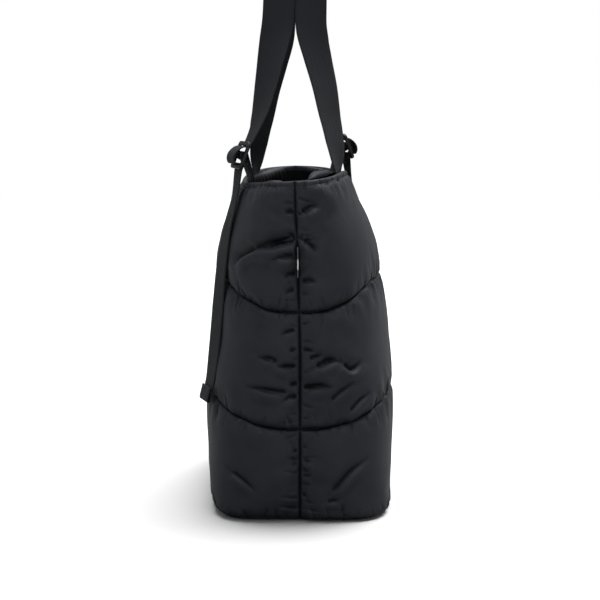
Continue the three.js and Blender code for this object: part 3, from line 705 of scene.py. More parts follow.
# %% [markdown]
# ## Base and lining
#
# The base is a flat padded panel between the two others. The lining is a loose bag of thin cloth sewn in
# at the rim: its top is a facing of the shell's own nylon, and it hangs free below that, so it gathers
# into soft upright folds. The facing is padded, so it rolls in over the mouth beside the side seams.

# %% Rings round the body


def ring(shares, point_at):
    """Points all the way round, from the front's +X side seam along the front and back along the back."""
    front = point_at(FRONT, shares[:-1])
    back = point_at(BACK, shares[1:])[::-1]
    return np.concatenate([front, back])


def closed_rings(name, rings):
    """A closed body from a stack of rings, with a fan of triangles over the first and the last."""
    count = len(rings[0])
    points = np.concatenate(rings)
    faces = []
    for level in range(len(rings) - 1):
        for k in range(count):
            after = (k + 1) % count
            low, high = level * count, (level + 1) * count
            faces.append((low + k, low + after, high + after, high + k))
    middles = np.array([rings[0].mean(0), rings[-1].mean(0)])
    first, last = len(points), len(points) + 1
    top = (len(rings) - 1) * count
    for k in range(count):
        after = (k + 1) % count
        faces.append((first, after, k))
        faces.append((last, top + k, top + after))
    made = mesh_object(name, np.concatenate([points, middles]), faces)
    turn_outwards(made)
    return made


def turn_outwards(made):
    """Turns the faces of a closed mesh outwards."""
    work = bmesh.new()
    work.from_mesh(made.data)
    bmesh.ops.recalc_face_normals(work, faces=work.faces)
    if work.calc_volume(signed=True) < 0:
        bmesh.ops.reverse_faces(work, faces=work.faces)
    work.to_mesh(made.data)
    work.free()


RING_SHARES = np.linspace(0, 1, 181)


def make_base():
    def layer(z, inset):
        def point_at(side, shares):
            half = halves[side]
            height = np.full(shares.shape, BASE_THICKNESS)
            inward = half.wall_depth(shares, height) + CLEARANCE + inset
            made = half.inward(shares, np.full(shares.shape, BASE_LIFT), inward)
            made[:, 2] = z
            return made
        return ring(RING_SHARES, point_at)

    edge = BASE_LIFT / 2
    levels = [(0, 3 * edge), (0, edge), (edge / 3, edge / 3), (edge, 0), (BASE_THICKNESS - edge, 0)]
    levels += [(BASE_THICKNESS, edge), (BASE_THICKNESS, 3 * edge)]
    return closed_rings("base_cloth", [layer(*level) for level in levels])


# %% The lining

HEM_DEPTH = 34.0
LINING_THICKNESS, LINING_HANG = 1.2, 3.0
GATHER_DEPTH = 3.2
# The padded facing rolls inwards beside the side seams. The shares run from the nearer side seam.
FACING_ROLL = {
    FRONT: {"from": 0.035, "to": 0.42, "inward": 24.0, "above": 11.0},
    BACK: {"from": 0.03, "to": 0.3, "inward": 13.0, "above": 15.0},
}
FACING_ROWS = 15
FACING_FOLD, FACING_FOLD_SPACING = 0.6, 17.0


def make_lining():
    hem_behind = 2 * (SEWN_GAP + WEBBING_THICKNESS) + LAYER_GAP
    bottom = BASE_LIFT + BASE_THICKNESS + LINING_HANG
    floor = BASE_THICKNESS + CLEARANCE
    rng = np.random.default_rng(5)
    phases = rng.uniform(0, 2 * np.pi, 8)

    def gathers(side, shares, drop):
        turn = shares * np.pi + (0 if side == FRONT else np.pi)
        wave = sum(np.sin(turn * (9 + 5 * k) + phases[k] + 2 * drop * k) / (k + 1) for k in range(8))
        soft = np.clip(np.minimum(shares, 1 - shares) / 0.02, 0, 1)
        return GATHER_DEPTH * (1 + np.tanh(wave)) * soft * min(1.0, 3 * drop + 0.15)

    def roll(side, shares, drop):
        row = FACING_ROLL[side]
        near = np.minimum(shares, 1 - shares)
        along = np.clip((near - row["from"]) / (row["to"] - row["from"]), 0, 1)
        hump = np.sin(np.pi * along**0.75) ** 2 * np.where(shares < 0.5, 1, 0.35)
        down = np.clip(drop * BODY_HEIGHT / HEM_DEPTH, 0, 1)
        arch = np.sin(np.pi * down**0.6)
        crease = np.sin(2 * np.pi * (near * halves[side].length + 20 * down) / FACING_FOLD_SPACING)
        pushed = hump * arch * row["inward"] + crease * FACING_FOLD * arch * (hump > 0)
        return pushed, hump * row["above"] * arch

    def wall(drop, extra):
        def point_at(side, shares):
            half = halves[side]
            pushed, raised = roll(side, shares, drop)
            height = rim_height(side, shares) * (1 - drop) + bottom * drop
            inward = half.wall_depth(shares, height) + hem_behind + extra + gathers(side, shares, drop)
            made = half.inward(shares, height, inward + pushed)
            made[:, 2] += raised
            return made
        return ring(RING_SHARES, point_at)

    def flat(points, z, inset):
        made = points * (1 - inset)
        made[:, 2] = z
        return made

    drops = np.concatenate([np.linspace(0, HEM_DEPTH / BODY_HEIGHT, FACING_ROWS), np.linspace(0.12, 1, 26)])
    outside = [wall(drop, 0.0) for drop in drops]
    inside = [wall(drop, LINING_THICKNESS) for drop in drops]
    tuck = 2 * LINING_HANG / BODY_DEPTH
    rings = [flat(outside[-1], floor, 3 * tuck), flat(outside[-1], floor, tuck)]
    rings += outside[::-1] + inside
    rings += [flat(inside[-1], floor + LINING_THICKNESS, inset) for inset in (tuck, 3 * tuck)]
    return closed_rings("lining_cloth", rings)


base_cloth = make_base()
lining_cloth = make_lining()

# %% [markdown]
# ## Webbing
#
# A handle is one length of flat woven webbing. It starts sewn inside the rim, climbs to the hand, comes
# down to its slider, passes behind, over and behind the three bars, and ends as a loose tail. So it is
# made the way it is threaded: a list of stations, each with a place and the direction of the width,
# a smooth curve through them, and a flat section with soft edges that is swept along it.

# %% Stations of the webbing

UP = np.array([0.0, 0.0, 1.0])
SLIDER_LEG = {
    "at": [0, 0.08, 0.145, 0.24, 0.387, 0.513, 0.6, 0.74, 0.87, 0.955, 1],
    "in": [1, 0.94, 0.88, 0.8, 0.69, 0.6, 0.56, 0.51, 0.458, 0.31, 0],
    "out": [1, 0.757, 0.629, 0.5, 0.312, 0.152, 0.05, 0, 0, 0, 0],
    "turn": [15, 21, 30, 40, 56, 75, 87, 90, 90, 90, 90],
}
SEWN_LEG = {
    "at": [0.049, 0.115, 0.19, 0.241, 0.368, 0.495, 0.62, 0.755, 0.88, 0.96],
    "in": [0.985, 0.94, 0.88, 0.84, 0.75, 0.66, 0.58, 0.51, 0.455, 0.3],
    "out": [0.96, 0.9, 0.79, 0.7, 0.51, 0.25, 0.02, 0, 0, 0],
    "turn": [22, 33, 38, 42, 53, 64, 80, 89, 90, 90],
}
TAIL = {
    "at": [0.12, 0.26, 0.42, 0.6, 0.78, 0.9],
    "off": [0.08, 0.02, 0, 0, 0, 0],
    "drift": [0.02, 0.05, 0.1, 0.17, 0.24, 0.28],
    "turn": [2, 3, 5, 6, 6, 4],
}
FOLDED_END = {
    "along": [0.45, 0.94, 0.98, 1, 0.98, 0.94, 0.25],
    "layer": [0, 0, 0.15, 0.5, 0.85, 1, 1],
}
LOOP = {"along": [0.62, 0.3, -0.2, -0.65, -0.86], "off": [0.13, 0.245, 0.32, 0.28, 0.19]}
OUTER_BAR = (SLIDER_HEIGHT - SLIDER_BAR) / 2
ON_BAR = WEBBING_SLACK + WEBBING_THICKNESS / 2


def rows_of(table):
    names = list(table)
    return [dict(zip(names, values)) for values in zip(*table.values())]


def width_at(side, turn):
    angle = math.radians(turn)
    return np.array([-side * math.cos(angle), -side * math.sin(angle), 0.0])


def toward_slider(side, direction):
    return direction * (-1.0 if direction[0] * side > 0 else 1.0)


def sewn_stations(side, to_slider, layer):
    half = halves[side]
    x = -side * to_slider
    behind = SEWN_GAP + (layer - 1) * LAYER_GAP + (layer - 0.5) * WEBBING_THICKNESS
    top = float(rim_height(side, half.share_at(x, BODY_HEIGHT)))
    made = []
    for t in (0, 0.5, 1):
        height = top - SEWN_LENGTH * (1 - t)
        share = half.share_at(x, height)
        inward = float(half.wall_depth(share, height)) + behind
        width = toward_slider(side, half.along(share, height)) * np.sign(to_slider)
        made.append((half.inward(share, height, inward), width))
    return made


class SliderPlace:
    """The middle of a slider and its directions: up along its height, and out of its face."""

    def __init__(self, side):
        foot = sewn_stations(side, HANDLE_SPACING / 2, 1)[2][0]
        tilt, turn = math.radians(SLIDER_TILT), math.radians(SLIDER_TURN)
        rise = SLIDER_RISE + SLIDER_HEIGHT / 2 * math.cos(tilt)
        ahead = np.array([-side * math.sin(turn), side * math.cos(turn), 0])
        self.middle = foot + np.array([0, side * SLIDER_REACH, rise])
        self.up = UP * math.cos(tilt) - ahead * math.sin(tilt)
        self.out = ahead * math.cos(tilt) + UP * math.sin(tilt)

    def at(self, along, off):
        return self.middle + self.up * along + self.out * off


def threaded_stations(side):
    at = SliderPlace(side).at
    behind = -(SLIDER_THICKNESS / 2 + ON_BAR)
    edge = OUTER_BAR - SLIDER_BAR / 2
    corner = ON_BAR * math.sqrt(0.5)
    places = [
        (OUTER_BAR + SLIDER_BAR, behind * 1.2),
        (OUTER_BAR + SLIDER_BAR / 4, behind),
        (edge + ON_BAR / 2, behind),
        (edge - corner, behind + ON_BAR - corner),
        (edge - ON_BAR, -SLIDER_THICKNESS / 5),
        *[(row["along"] * OUTER_BAR, row["off"] * SLIDER_HEIGHT) for row in rows_of(LOOP)],
        (-edge + ON_BAR, SLIDER_THICKNESS / 2),
        (-edge + ON_BAR, -SLIDER_THICKNESS / 5),
        (-edge + corner, behind + ON_BAR - corner),
        (-edge - ON_BAR / 2, behind),
        (-OUTER_BAR - SLIDER_BAR / 4, behind),
    ]
    return [(at(along, off), width_at(side, SLIDER_TURN)) for along, off in places]


def leg_stations(side, table, foot, sign):
    top = BODY_HEIGHT + HANDLE_DROP
    top_out = (WEBBING_WIDTH + GAP_AT_TOP) / 2
    foot_out = side * (foot[1] - float(lean_at(BODY_HEIGHT)))
    made = []
    for row in rows_of(table):
        height = foot[2] + (top - foot[2]) * row["at"]
        x = -side * sign * row["in"] * HANDLE_SPACING / 2
        out = top_out + (foot_out - top_out) * row["out"]
        y = float(lean_at(min(height, BODY_HEIGHT))) + side * out
        turn = row["turn"] if sign > 0 else 180 - row["turn"]
        made.append((np.array([x, y, height]), width_at(side, turn)))
    return made


fold_places = {}


def tail_stations(side, start):
    half = halves[side]
    stand_off = TAIL_STAND_OFF + WEBBING_THICKNESS / 2
    hang = []
    for row in rows_of(TAIL):
        height = start[2] - row["at"] * TAIL_LENGTH
        x = -side * (HANDLE_SPACING / 2 + row["drift"] * WEBBING_WIDTH)
        share = half.share_at(x, height)
        face = half.point(share, height) + half.normal(share, height) * PUFF * half.fullness(share, height)
        turn = math.radians(-side * row["turn"])
        run = toward_slider(side, half.along(share, height))
        c, s = math.cos(turn), math.sin(turn)
        width = np.array([run[0] * c - run[1] * s, run[0] * s + run[1] * c, run[2]])
        out = unit(np.cross(width, UP))
        hang.append((face + out * (stand_off + row["off"] * SLIDER_HEIGHT), width, out))
    place, width, out = hang[-1]
    down = unit(-UP + out * TAIL_FLARE[side])
    apart = WEBBING_THICKNESS + 1.5 * LAYER_GAP
    fold_places[side] = (place, width, out, down, apart)
    ends = [
        (place + down * row["along"] * FOLDED_LENGTH + out * row["layer"] * apart, width)
        for row in rows_of(FOLDED_END)
    ]
    return [(there, across) for there, across, _ in hang] + ends


def handle_stations(side):
    sewn = sewn_stations(side, -HANDLE_SPACING / 2, 1)
    threaded = threaded_stations(side)
    sewn_leg = leg_stations(side, SEWN_LEG, sewn[2][0], -1)
    slider_leg = leg_stations(side, SLIDER_LEG, threaded[0][0], 1)[1:][::-1]
    return sewn + sewn_leg + slider_leg + threaded + tail_stations(side, threaded[-1][0])


def tab_stations(side):
    at = SliderPlace(side).at
    layers = [sewn_stations(side, HANDLE_SPACING / 2, layer) for layer in (1, 2)]
    edge = SLIDER_BAR / 2 + ON_BAR
    face = SLIDER_THICKNESS / 2 + ON_BAR
    corner = ON_BAR * (1 - math.sqrt(0.5))
    places = [
        (-edge, -face - ON_BAR),
        (-edge, 0),
        (-edge + corner, face - corner),
        (-SLIDER_BAR / 4, face),
        (SLIDER_BAR / 4, face),
        (edge - corner, face - corner),
        (edge, 0),
        (edge - corner, corner - face),
        (SLIDER_BAR / 4, -face - WEBBING_THICKNESS),
    ]
    loop = [(at(along, off), width_at(side, SLIDER_TURN)) for along, off in places]
    return layers[0] + loop + layers[1][::-1]


# %% [markdown]
# ### From stations to webbing
#
# A smooth curve runs through the stations, and a flat section follows it. The curve's parameter is spaced
# by the square root of each distance, which keeps it from looping where two stations are close. The UV map
# runs along the webbing, so that the weave turns with it.

# %% Sweeping the webbing

SWEEP_STEP = 2.5
SECTION = {
    "across": [-1, -0.965, -0.7, -0.35, 0, 0.35, 0.7, 0.965, 1, 0.965, 0.7, 0.35, 0, -0.35, -0.7, -0.965],
    "thick": [0, 1, 1, 1, 1, 1, 1, 1, 0, -1, -1, -1, -1, -1, -1, -1],
}


def curve_span(p0, p1, p2, p3, t):
    """Points of a centripetal curve between p1 and p2, and its directions there."""
    gaps = [max(np.linalg.norm(b - a), 1e-6) ** 0.5 for a, b in ((p0, p1), (p1, p2), (p2, p3))]
    leave = (p1 - p0) / gaps[0] - (p2 - p0) / (gaps[0] + gaps[1]) + (p2 - p1) / gaps[1]
    arrive = (p2 - p1) / gaps[1] - (p3 - p1) / (gaps[1] + gaps[2]) + (p3 - p2) / gaps[2]
    leave, arrive = leave * gaps[1], arrive * gaps[1]
    c2, c3 = -3 * p1 + 3 * p2 - 2 * leave - arrive, 2 * p1 - 2 * p2 + leave + arrive
    t = t[:, None]
    return p1 + leave * t + c2 * t**2 + c3 * t**3, leave + 2 * c2 * t + 3 * c3 * t**2


def sweep_frames(stations):
    """Places, directions and widths at every step along the webbing."""
    places = [place for place, width in stations]
    widths = [width for place, width in stations]
    places = [2 * places[0] - places[1], *places, 2 * places[-1] - places[-2]]
    made = []
    for k in range(len(widths) - 1):
        steps = max(2, int(round(np.linalg.norm(places[k + 2] - places[k + 1]) / SWEEP_STEP)))
        t = np.arange(steps + (k == len(widths) - 2)) / steps
        points, along = curve_span(*places[k:k + 4], t)
        width = widths[k] * (1 - t)[:, None] + widths[k + 1] * t[:, None]
        made.append((points, along, width))
    points, along, width = (np.concatenate(parts) for parts in zip(*made))
    along = unit(along)
    for _ in range(4):
        width[1:-1] = (width[:-2] + 2 * width[1:-1] + width[2:]) / 4
    width = unit(width - along * (width * along).sum(-1, keepdims=True))
    return points, along, width


def make_webbing(name, stations):
    points, along, width = sweep_frames(stations)
    thick = unit(np.cross(along, width))
    across = np.array(SECTION["across"]) * WEBBING_WIDTH / 2
    off = np.array(SECTION["thick"]) * WEBBING_THICKNESS / 2
    rings = points[:, None] + width[:, None] * across[:, None] + thick[:, None] * off[:, None]
    count = len(across)
    steps = len(points)
    index = np.arange(steps * count).reshape(steps, count)
    after = np.roll(index, -1, axis=1)
    faces = np.stack([index[:-1], after[:-1], after[1:], index[1:]], -1).reshape(-1, 4).tolist()
    faces += [index[0][::-1].tolist(), index[-1].tolist()]
    made = mesh_object(name, rings, faces)
    turn_outwards(made)
    run = np.concatenate([[0], np.cumsum(np.linalg.norm(np.diff(points, axis=0), axis=1))])
    layer = made.data.uv_layers.new(name="weave")
    corners = np.empty(len(made.data.loops), int)
    made.data.loops.foreach_get("vertex_index", corners)
    u = across[corners % count] / WEBBING_WIDTH
    v = run[corners // count] / WEBBING_WIDTH
    layer.data.foreach_set("uv", np.stack([u, v], -1).ravel())
    return made, float(run[-1])


handles, tabs, handle_lengths = {}, {}, {}
for word, side in (("front", FRONT), ("back", BACK)):
    handles[side], handle_lengths[side] = make_webbing(f"{word}_webbing", handle_stations(side))
    tabs[side], _ = make_webbing(f"{word}_tab_webbing", tab_stations(side))
    print(word, "handle webbing", round(handle_lengths[side]), "mm long")

# %% [markdown]
# ## Sliders
#
# The three-bar slider is moulded plastic, so it has no sharp edge anywhere. A flat curve with two holes
# is thickened and given a round bevel, which is how such a part is drawn as well, and then it is
# turned into a mesh.

# %% Three-bar sliders

BEVEL = 1.1


def rounded_loop(curve, width, height, radius, up=0.0):
    """Adds a rectangle with round corners to a flat curve."""
    points = []
    for turn, (x, y) in enumerate([(1, 1), (-1, 1), (-1, -1), (1, -1)]):
        for step in range(7):
            angle = math.radians(90 * turn + 15 * step)
            cx, cy = x * (width / 2 - radius), y * (height / 2 - radius)
            points.append((cx + radius * math.cos(angle), up + cy + radius * math.sin(angle)))
    spline = curve.splines.new("POLY")
    spline.points.add(len(points) - 1)
    for point, (x, y) in zip(spline.points, points):
        point.co = (x * MM, y * MM, 0, 1)
    spline.use_cyclic_u = True


def make_slider(name, side):
    curve = bpy.data.curves.new(name, "CURVE")
    curve.dimensions = "2D"
    curve.fill_mode = "BOTH"
    rounded_loop(curve, SLIDER_LENGTH, SLIDER_HEIGHT, SLIDER_CORNER)
    slot_height = OUTER_BAR - SLIDER_BAR
    for up in (-OUTER_BAR / 2, OUTER_BAR / 2):
        rounded_loop(curve, WEBBING_WIDTH + 4 * CLEARANCE, slot_height, slot_height / 5, up)
    curve.extrude = (SLIDER_THICKNESS / 2 - BEVEL) * MM
    curve.bevel_depth = BEVEL * MM
    curve.bevel_resolution = 3
    curve.offset = -BEVEL * MM
    drawn = bpy.data.objects.new(name + "_drawing", curve)
    bpy.context.scene.collection.objects.link(drawn)
    bpy.context.view_layer.update()
    mesh = bpy.data.meshes.new_from_object(drawn.evaluated_get(bpy.context.evaluated_depsgraph_get()))
    bpy.data.objects.remove(drawn)
    place = SliderPlace(side)
    axes = np.stack([np.cross(place.up, place.out), place.up, place.out], 1)
    points = np.empty(len(mesh.vertices) * 3)
    mesh.vertices.foreach_get("co", points)
    points = points.reshape(-1, 3) @ axes.T + place.middle * MM
    mesh.vertices.foreach_set("co", points.ravel())
    mesh.name = name
    mesh.shade_smooth()
    made = bpy.data.objects.new(name, mesh)
    bpy.context.scene.collection.objects.link(made)
    weld(made)
    return made


def weld(made):
    work = bmesh.new()
    work.from_mesh(made.data)
    bmesh.ops.remove_doubles(work, verts=work.verts, dist=0.02 * MM)
    bmesh.ops.recalc_face_normals(work, faces=work.faces)
    work.to_mesh(made.data)
    work.free()


sliders = {}
for word, side in (("front", FRONT), ("back", BACK)):
    sliders[side] = make_slider(f"{word}_slider_bars", side)
    print(word, "slider", len(sliders[side].data.polygons), "faces")

# %% [markdown]
# ## Seam label
#
# A short strip of pale ribbon, folded in half and caught in the side seam. It is left blank.

# %% Label

RIBBON = 0.35


def make_label():
    low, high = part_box("side_label")
    start, end = low[0] / MM, high[0] / MM
    middle_y = (low[1] + high[1]) / 2 / MM
    half_gap = (high[1] - low[1]) / 2 / MM
    bottom, top = low[2] / MM, high[2] / MM
    turn = np.linspace(0, np.pi, 9)
    radius = half_gap
    x = np.concatenate([np.linspace(start, end - radius, 8), end - radius + radius * np.sin(turn)[1:-1]])
    x = np.concatenate([x, np.linspace(end - radius, start, 8)])
    y = np.concatenate([np.full(8, -radius), -radius * np.cos(turn)[1:-1], np.full(8, radius)])
    path = np.stack([x, y], -1)
    direction = np.gradient(path, axis=0)
    sideways = unit(np.stack([direction[:, 1], -direction[:, 0]], -1)) * RIBBON / 2
    heights = np.linspace(bottom, top, 25)
    rings = []
    for height in heights:
        bend = 0.12 * math.sin((height - bottom) / (top - bottom) * math.pi * 1.3)
        shift = (path[:, 0] - start) / (end - start) * bend
        loop = np.concatenate([path + sideways, (path - sideways)[::-1]])
        bends = np.concatenate([shift, shift[::-1]])
        rings.append(np.stack([loop[:, 0], loop[:, 1] + middle_y + bends, np.full(len(loop), height)], -1))
    count = len(rings[0])
    pair = count // 2
    faces = []
    for level in range(len(rings) - 1):
        for k in range(count):
            after = (k + 1) % count
            faces.append((level * count + k, level * count + after, (level + 1) * count + after,
                          (level + 1) * count + k))
    for level in (0, len(rings) - 1):
        for k in range(pair - 1):
            faces.append(tuple(level * count + i for i in (k, k + 1, count - 2 - k, count - 1 - k)))
    made = mesh_object("blank_label", np.concatenate(rings), faces)
    turn_outwards(made)
    return made


blank_label = make_label()

# %% [markdown]
# ## Materials
#
# Every material is worked out from the surface itself, so it stays the same from any side. The nylon has
# a slow change of tone, fine crinkles as bump, and painted shade from the crease attribute, which darkens its
# folds and seams. Cloth has a low index of refraction here, because a rough weave shines less at its edges
# than a smooth solid does.

# %% A helper for materials


class Nodes:
    """A small helper that keeps the making of a material short."""

    def __init__(self, name):
        self.material = bpy.data.materials.new(name)
        self.material.use_nodes = True
        self.tree = self.material.node_tree
        self.surface = self.tree.nodes["Principled BSDF"]
        self.link = self.tree.links.new

    def add(self, kind, **values):
        node = self.tree.nodes.new(kind)
        for key, value in values.items():
            setattr(node, key, value)
        return node

    def put(self, node, **sockets):
        for name, value in sockets.items():
            socket = node.inputs[name.replace("_", " ")]
            if hasattr(value, "is_linked"):
                self.link(value, socket)
            else:
                socket.default_value = value
        return node

    def place(self):
        return self.add("ShaderNodeTexCoord").outputs["Object"]

    def height(self):
        return self.put(self.add("ShaderNodeSeparateXYZ"), Vector=self.place()).outputs["Z"]

    def step(self, low, high):
        """From 0 to 1 as the height goes from low to high, in metres."""
        made = self.put(self.add("ShaderNodeMapRange"), Value=self.height(), From_Min=low, From_Max=high)
        return made.outputs["Result"]

    def noise(self, scale, detail, **more):
        made = self.add("ShaderNodeTexNoise")
        return self.put(made, Vector=self.place(), Scale=scale, Detail=detail, **more).outputs["Fac"]

    def bump(self, height, strength, distance, **more):
        made = self.add("ShaderNodeBump")
        return self.put(made, Height=height, Strength=strength, Distance=distance, **more).outputs["Normal"]

    def between(self, factor, colour_a, colour_b):
        """One colour where the factor is 0 and the other where it is 1."""
        tint = self.add("ShaderNodeMix", data_type="RGBA")
        self.link(factor, tint.inputs["Factor"])
        tint.inputs["A"].default_value = (*colour_a, 1)
        tint.inputs["B"].default_value = (*colour_b, 1)
        return tint.outputs["Result"]

    def finish(self, **sockets):
        self.put(self.surface, **sockets)
        return self.material


# %% Cloth and webbing


def shell_cloth():
    made = Nodes("nylon shell")
    ramp = made.add("ShaderNodeValToRGB")
    dark, light = ramp.color_ramp.elements
    dark.position, light.position = 0.3, 0.75
    dark.color = (0.0205, 0.0232, 0.0290, 1)
    light.color = (0.0270, 0.0302, 0.0368, 1)
    made.link(made.noise(26.0, 3.0), ramp.inputs["Fac"])
    # Painted shade: the crease attribute multiplies the colour towards a dark grey in folds and along seams.
    crease = made.add("ShaderNodeAttribute", attribute_name="crease")
    shade = made.add("ShaderNodeMix", data_type="RGBA", blend_type="MULTIPLY")
    made.link(crease.outputs["Fac"], shade.inputs["Factor"])
    made.link(ramp.outputs["Color"], shade.inputs["A"])
    shade.inputs["B"].default_value = (0.14, 0.14, 0.16, 1)
    fine = made.bump(made.noise(2200.0, 1.0), 0.25, 0.00008)
    crinkles = made.bump(made.noise(140.0, 5.0, Distortion=0.6), 0.12, 0.0007, Normal=fine)
    return made.finish(Base_Color=shade.outputs["Result"], Roughness=0.56, Normal=crinkles,
                       Sheen_Weight=0.02, Sheen_Roughness=0.4, IOR=1.22)


def lining_fabric():
    made = Nodes("lining")
    tint = made.between(made.step(0.385, 0.387), (0.0050, 0.0052, 0.0065), (0.0220, 0.0250, 0.0310))
    return made.finish(Base_Color=tint, Roughness=0.62, Normal=made.bump(made.noise(120.0, 4.0), 0.3, 0.0008),
                       IOR=1.2)


def webbing_weave():
    made = Nodes("twill webbing")
    uv = made.put(made.add("ShaderNodeSeparateXYZ"), Vector=made.add("ShaderNodeTexCoord").outputs["UV"])
    across, along = uv.outputs["X"], uv.outputs["Y"]

    def maths(operation, a, b=0.0):
        node = made.add("ShaderNodeMath", operation=operation)
        for socket, value in zip(node.inputs, (a, b)):
            if hasattr(value, "is_linked"):
                made.link(value, socket)
            else:
                socket.default_value = value
        return node.outputs["Value"]

    bands = maths("ABSOLUTE", maths("SUBTRACT", maths("FRACT", maths("MULTIPLY", across, 6.0)), 0.5))
    slant = maths("ADD", maths("MULTIPLY", along, 1.0), maths("MULTIPLY", bands, 0.16))
    rib = maths("ABSOLUTE", maths("SINE", maths("MULTIPLY", slant, 2 * math.pi * 17)))
    tint = made.between(rib, (0.0095, 0.0108, 0.0134), (0.0180, 0.0199, 0.0240))
    return made.finish(Base_Color=tint, Roughness=0.72, Normal=made.bump(rib, 0.5, 0.00035),
                       Sheen_Weight=0.02, Sheen_Roughness=0.5, IOR=1.22)


# %% Plastic, ribbon and thread


def moulded_plastic():
    made = Nodes("moulded plastic")
    return made.finish(Base_Color=(0.0092, 0.0096, 0.0105, 1), Roughness=0.45, IOR=1.35,
                       Normal=made.bump(made.noise(900.0, 2.0), 0.08, 0.0002))


def blank_ribbon():
    made = Nodes("blank ribbon")
    band = made.add("ShaderNodeMath", operation="SUBTRACT")
    made.link(made.step(0.292, 0.2945), band.inputs[0])
    made.link(made.step(0.303, 0.3055), band.inputs[1])
    return made.finish(Base_Color=made.between(band.outputs["Value"], (0.07, 0.073, 0.08), (0.72, 0.72, 0.72)),
                       Roughness=0.7)


def polyester_thread():
    made = Nodes("thread")
    twist = made.put(made.add("ShaderNodeTexWave"), Vector=made.place(), Scale=900.0, Distortion=1.0)
    return made.finish(Base_Color=(0.024, 0.027, 0.033, 1), Roughness=0.5,
                       Normal=made.bump(twist.outputs["Fac"], 0.4, 0.0001))


finishes = {
    "shell": shell_cloth(),
    "lining": lining_fabric(),
    "webbing": webbing_weave(),
    "slider": moulded_plastic(),
    "label": blank_ribbon(),
}
thread = polyester_thread()
print("finishes", ", ".join(finishes))

# %% [markdown]
# ## Stitches
#
# Hundreds of equal stitches follow the seams, which is the work that Geometry Nodes are for. A line of
# points becomes a curve, the curve is divided into equal steps, and one bead lies along it at each step.
# The tree ends in real geometry, and the result is kept as a plain mesh.

# %% A tree that sews


def sewing_tree():
    tree = bpy.data.node_groups.new("row of stitches", "GeometryNodeTree")
    tree.interface.new_socket("Line", in_out="INPUT", socket_type="NodeSocketGeometry")
    for name in ("Stitch length", "Gap", "Thickness"):
        tree.interface.new_socket(name, in_out="INPUT", socket_type="NodeSocketFloat")
    tree.interface.new_socket("Thread", in_out="INPUT", socket_type="NodeSocketMaterial")
    tree.interface.new_socket("Stitches", in_out="OUTPUT", socket_type="NodeSocketGeometry")
    nodes, link = tree.nodes, tree.links.new
    start, end = nodes.new("NodeGroupInput"), nodes.new("NodeGroupOutput")
    pitch, half_length, half_thickness = (nodes.new("ShaderNodeMath") for _ in range(3))
    half_length.operation = half_thickness.operation = "MULTIPLY"
    half_length.inputs[1].default_value = half_thickness.inputs[1].default_value = 0.5
    link(start.outputs["Stitch length"], pitch.inputs[0])
    link(start.outputs["Gap"], pitch.inputs[1])
    link(start.outputs["Stitch length"], half_length.inputs[0])
    link(start.outputs["Thickness"], half_thickness.inputs[0])
    line, even = nodes.new("GeometryNodeMeshToCurve"), nodes.new("GeometryNodeResampleCurve")
    even.mode = "LENGTH"
    link(start.outputs["Line"], line.inputs[0])
    link(line.outputs[0], even.inputs["Curve"])
    link(pitch.outputs[0], even.inputs["Length"])
    bead, size = nodes.new("GeometryNodeMeshUVSphere"), nodes.new("ShaderNodeCombineXYZ")
    bead.inputs["Segments"].default_value = 6
    bead.inputs["Rings"].default_value = 4
    link(half_thickness.outputs[0], size.inputs["X"])
    link(half_thickness.outputs[0], size.inputs["Y"])
    link(half_length.outputs[0], size.inputs["Z"])
    aim = nodes.new("FunctionNodeAlignRotationToVector")
    aim.axis = "Z"
    link(nodes.new("GeometryNodeInputTangent").outputs[0], aim.inputs["Vector"])
    sow = nodes.new("GeometryNodeInstanceOnPoints")
    link(even.outputs[0], sow.inputs["Points"])
    link(bead.outputs["Mesh"], sow.inputs["Instance"])
    link(aim.outputs["Rotation"], sow.inputs["Rotation"])
    link(size.outputs["Vector"], sow.inputs["Scale"])
    real, dye = nodes.new("GeometryNodeRealizeInstances"), nodes.new("GeometryNodeSetMaterial")
    link(sow.outputs["Instances"], real.inputs["Geometry"])
    link(real.outputs["Geometry"], dye.inputs["Geometry"])
    link(start.outputs["Thread"], dye.inputs["Material"])
    link(dye.outputs["Geometry"], end.inputs["Stitches"])
    return tree


SEWING = sewing_tree()


def sew(name, lines, stitch, gap, thickness):
    """Stitches along lines of points in millimetres, as one plain mesh."""
    points, edges = [], []
    for line in lines:
        first = len(points)
        points += (np.asarray(line) * MM).tolist()
        edges += [(first + k, first + k + 1) for k in range(len(line) - 1)]
    drawn = bpy.data.meshes.new(name + "_line")
    drawn.from_pydata(points, edges, [])
    made = bpy.data.objects.new(name, drawn)
    bpy.context.scene.collection.objects.link(made)
    sewing = made.modifiers.new("sewing", "NODES")
    sewing.node_group = SEWING
    values = {"Stitch length": stitch * MM, "Gap": gap * MM, "Thickness": thickness * MM, "Thread": thread}
    for socket in SEWING.interface.items_tree:
        if socket.in_out == "INPUT" and socket.name in values:
            sewing[socket.identifier] = values[socket.name]
    solved = made.evaluated_get(bpy.context.evaluated_depsgraph_get())
    mesh = bpy.data.meshes.new_from_object(solved)
    made.modifiers.remove(sewing)
    made.data = mesh
    mesh.shade_smooth()
    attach(made, "root")
    print(name, len(mesh.polygons), "faces")
    return made


# %% Rows of stitches

SEAM_STITCH = {"stitch": 3.2, "gap": 1.3, "thickness": 0.7}
WEBBING_STITCH = {"stitch": 2.6, "gap": 1.0, "thickness": 0.6}
FOLD_BOX = {"low": 0.86, "high": 0.4, "across": 0.36}
STITCH_LIFT = 0.25


def lifted(line, side):
    """A seam line moved out of the cloth, so that its stitches lie on it."""
    run = np.gradient(line, axis=0)
    out = unit(np.cross(run, UP)) * -side
    return line - out * STITCH_LIFT


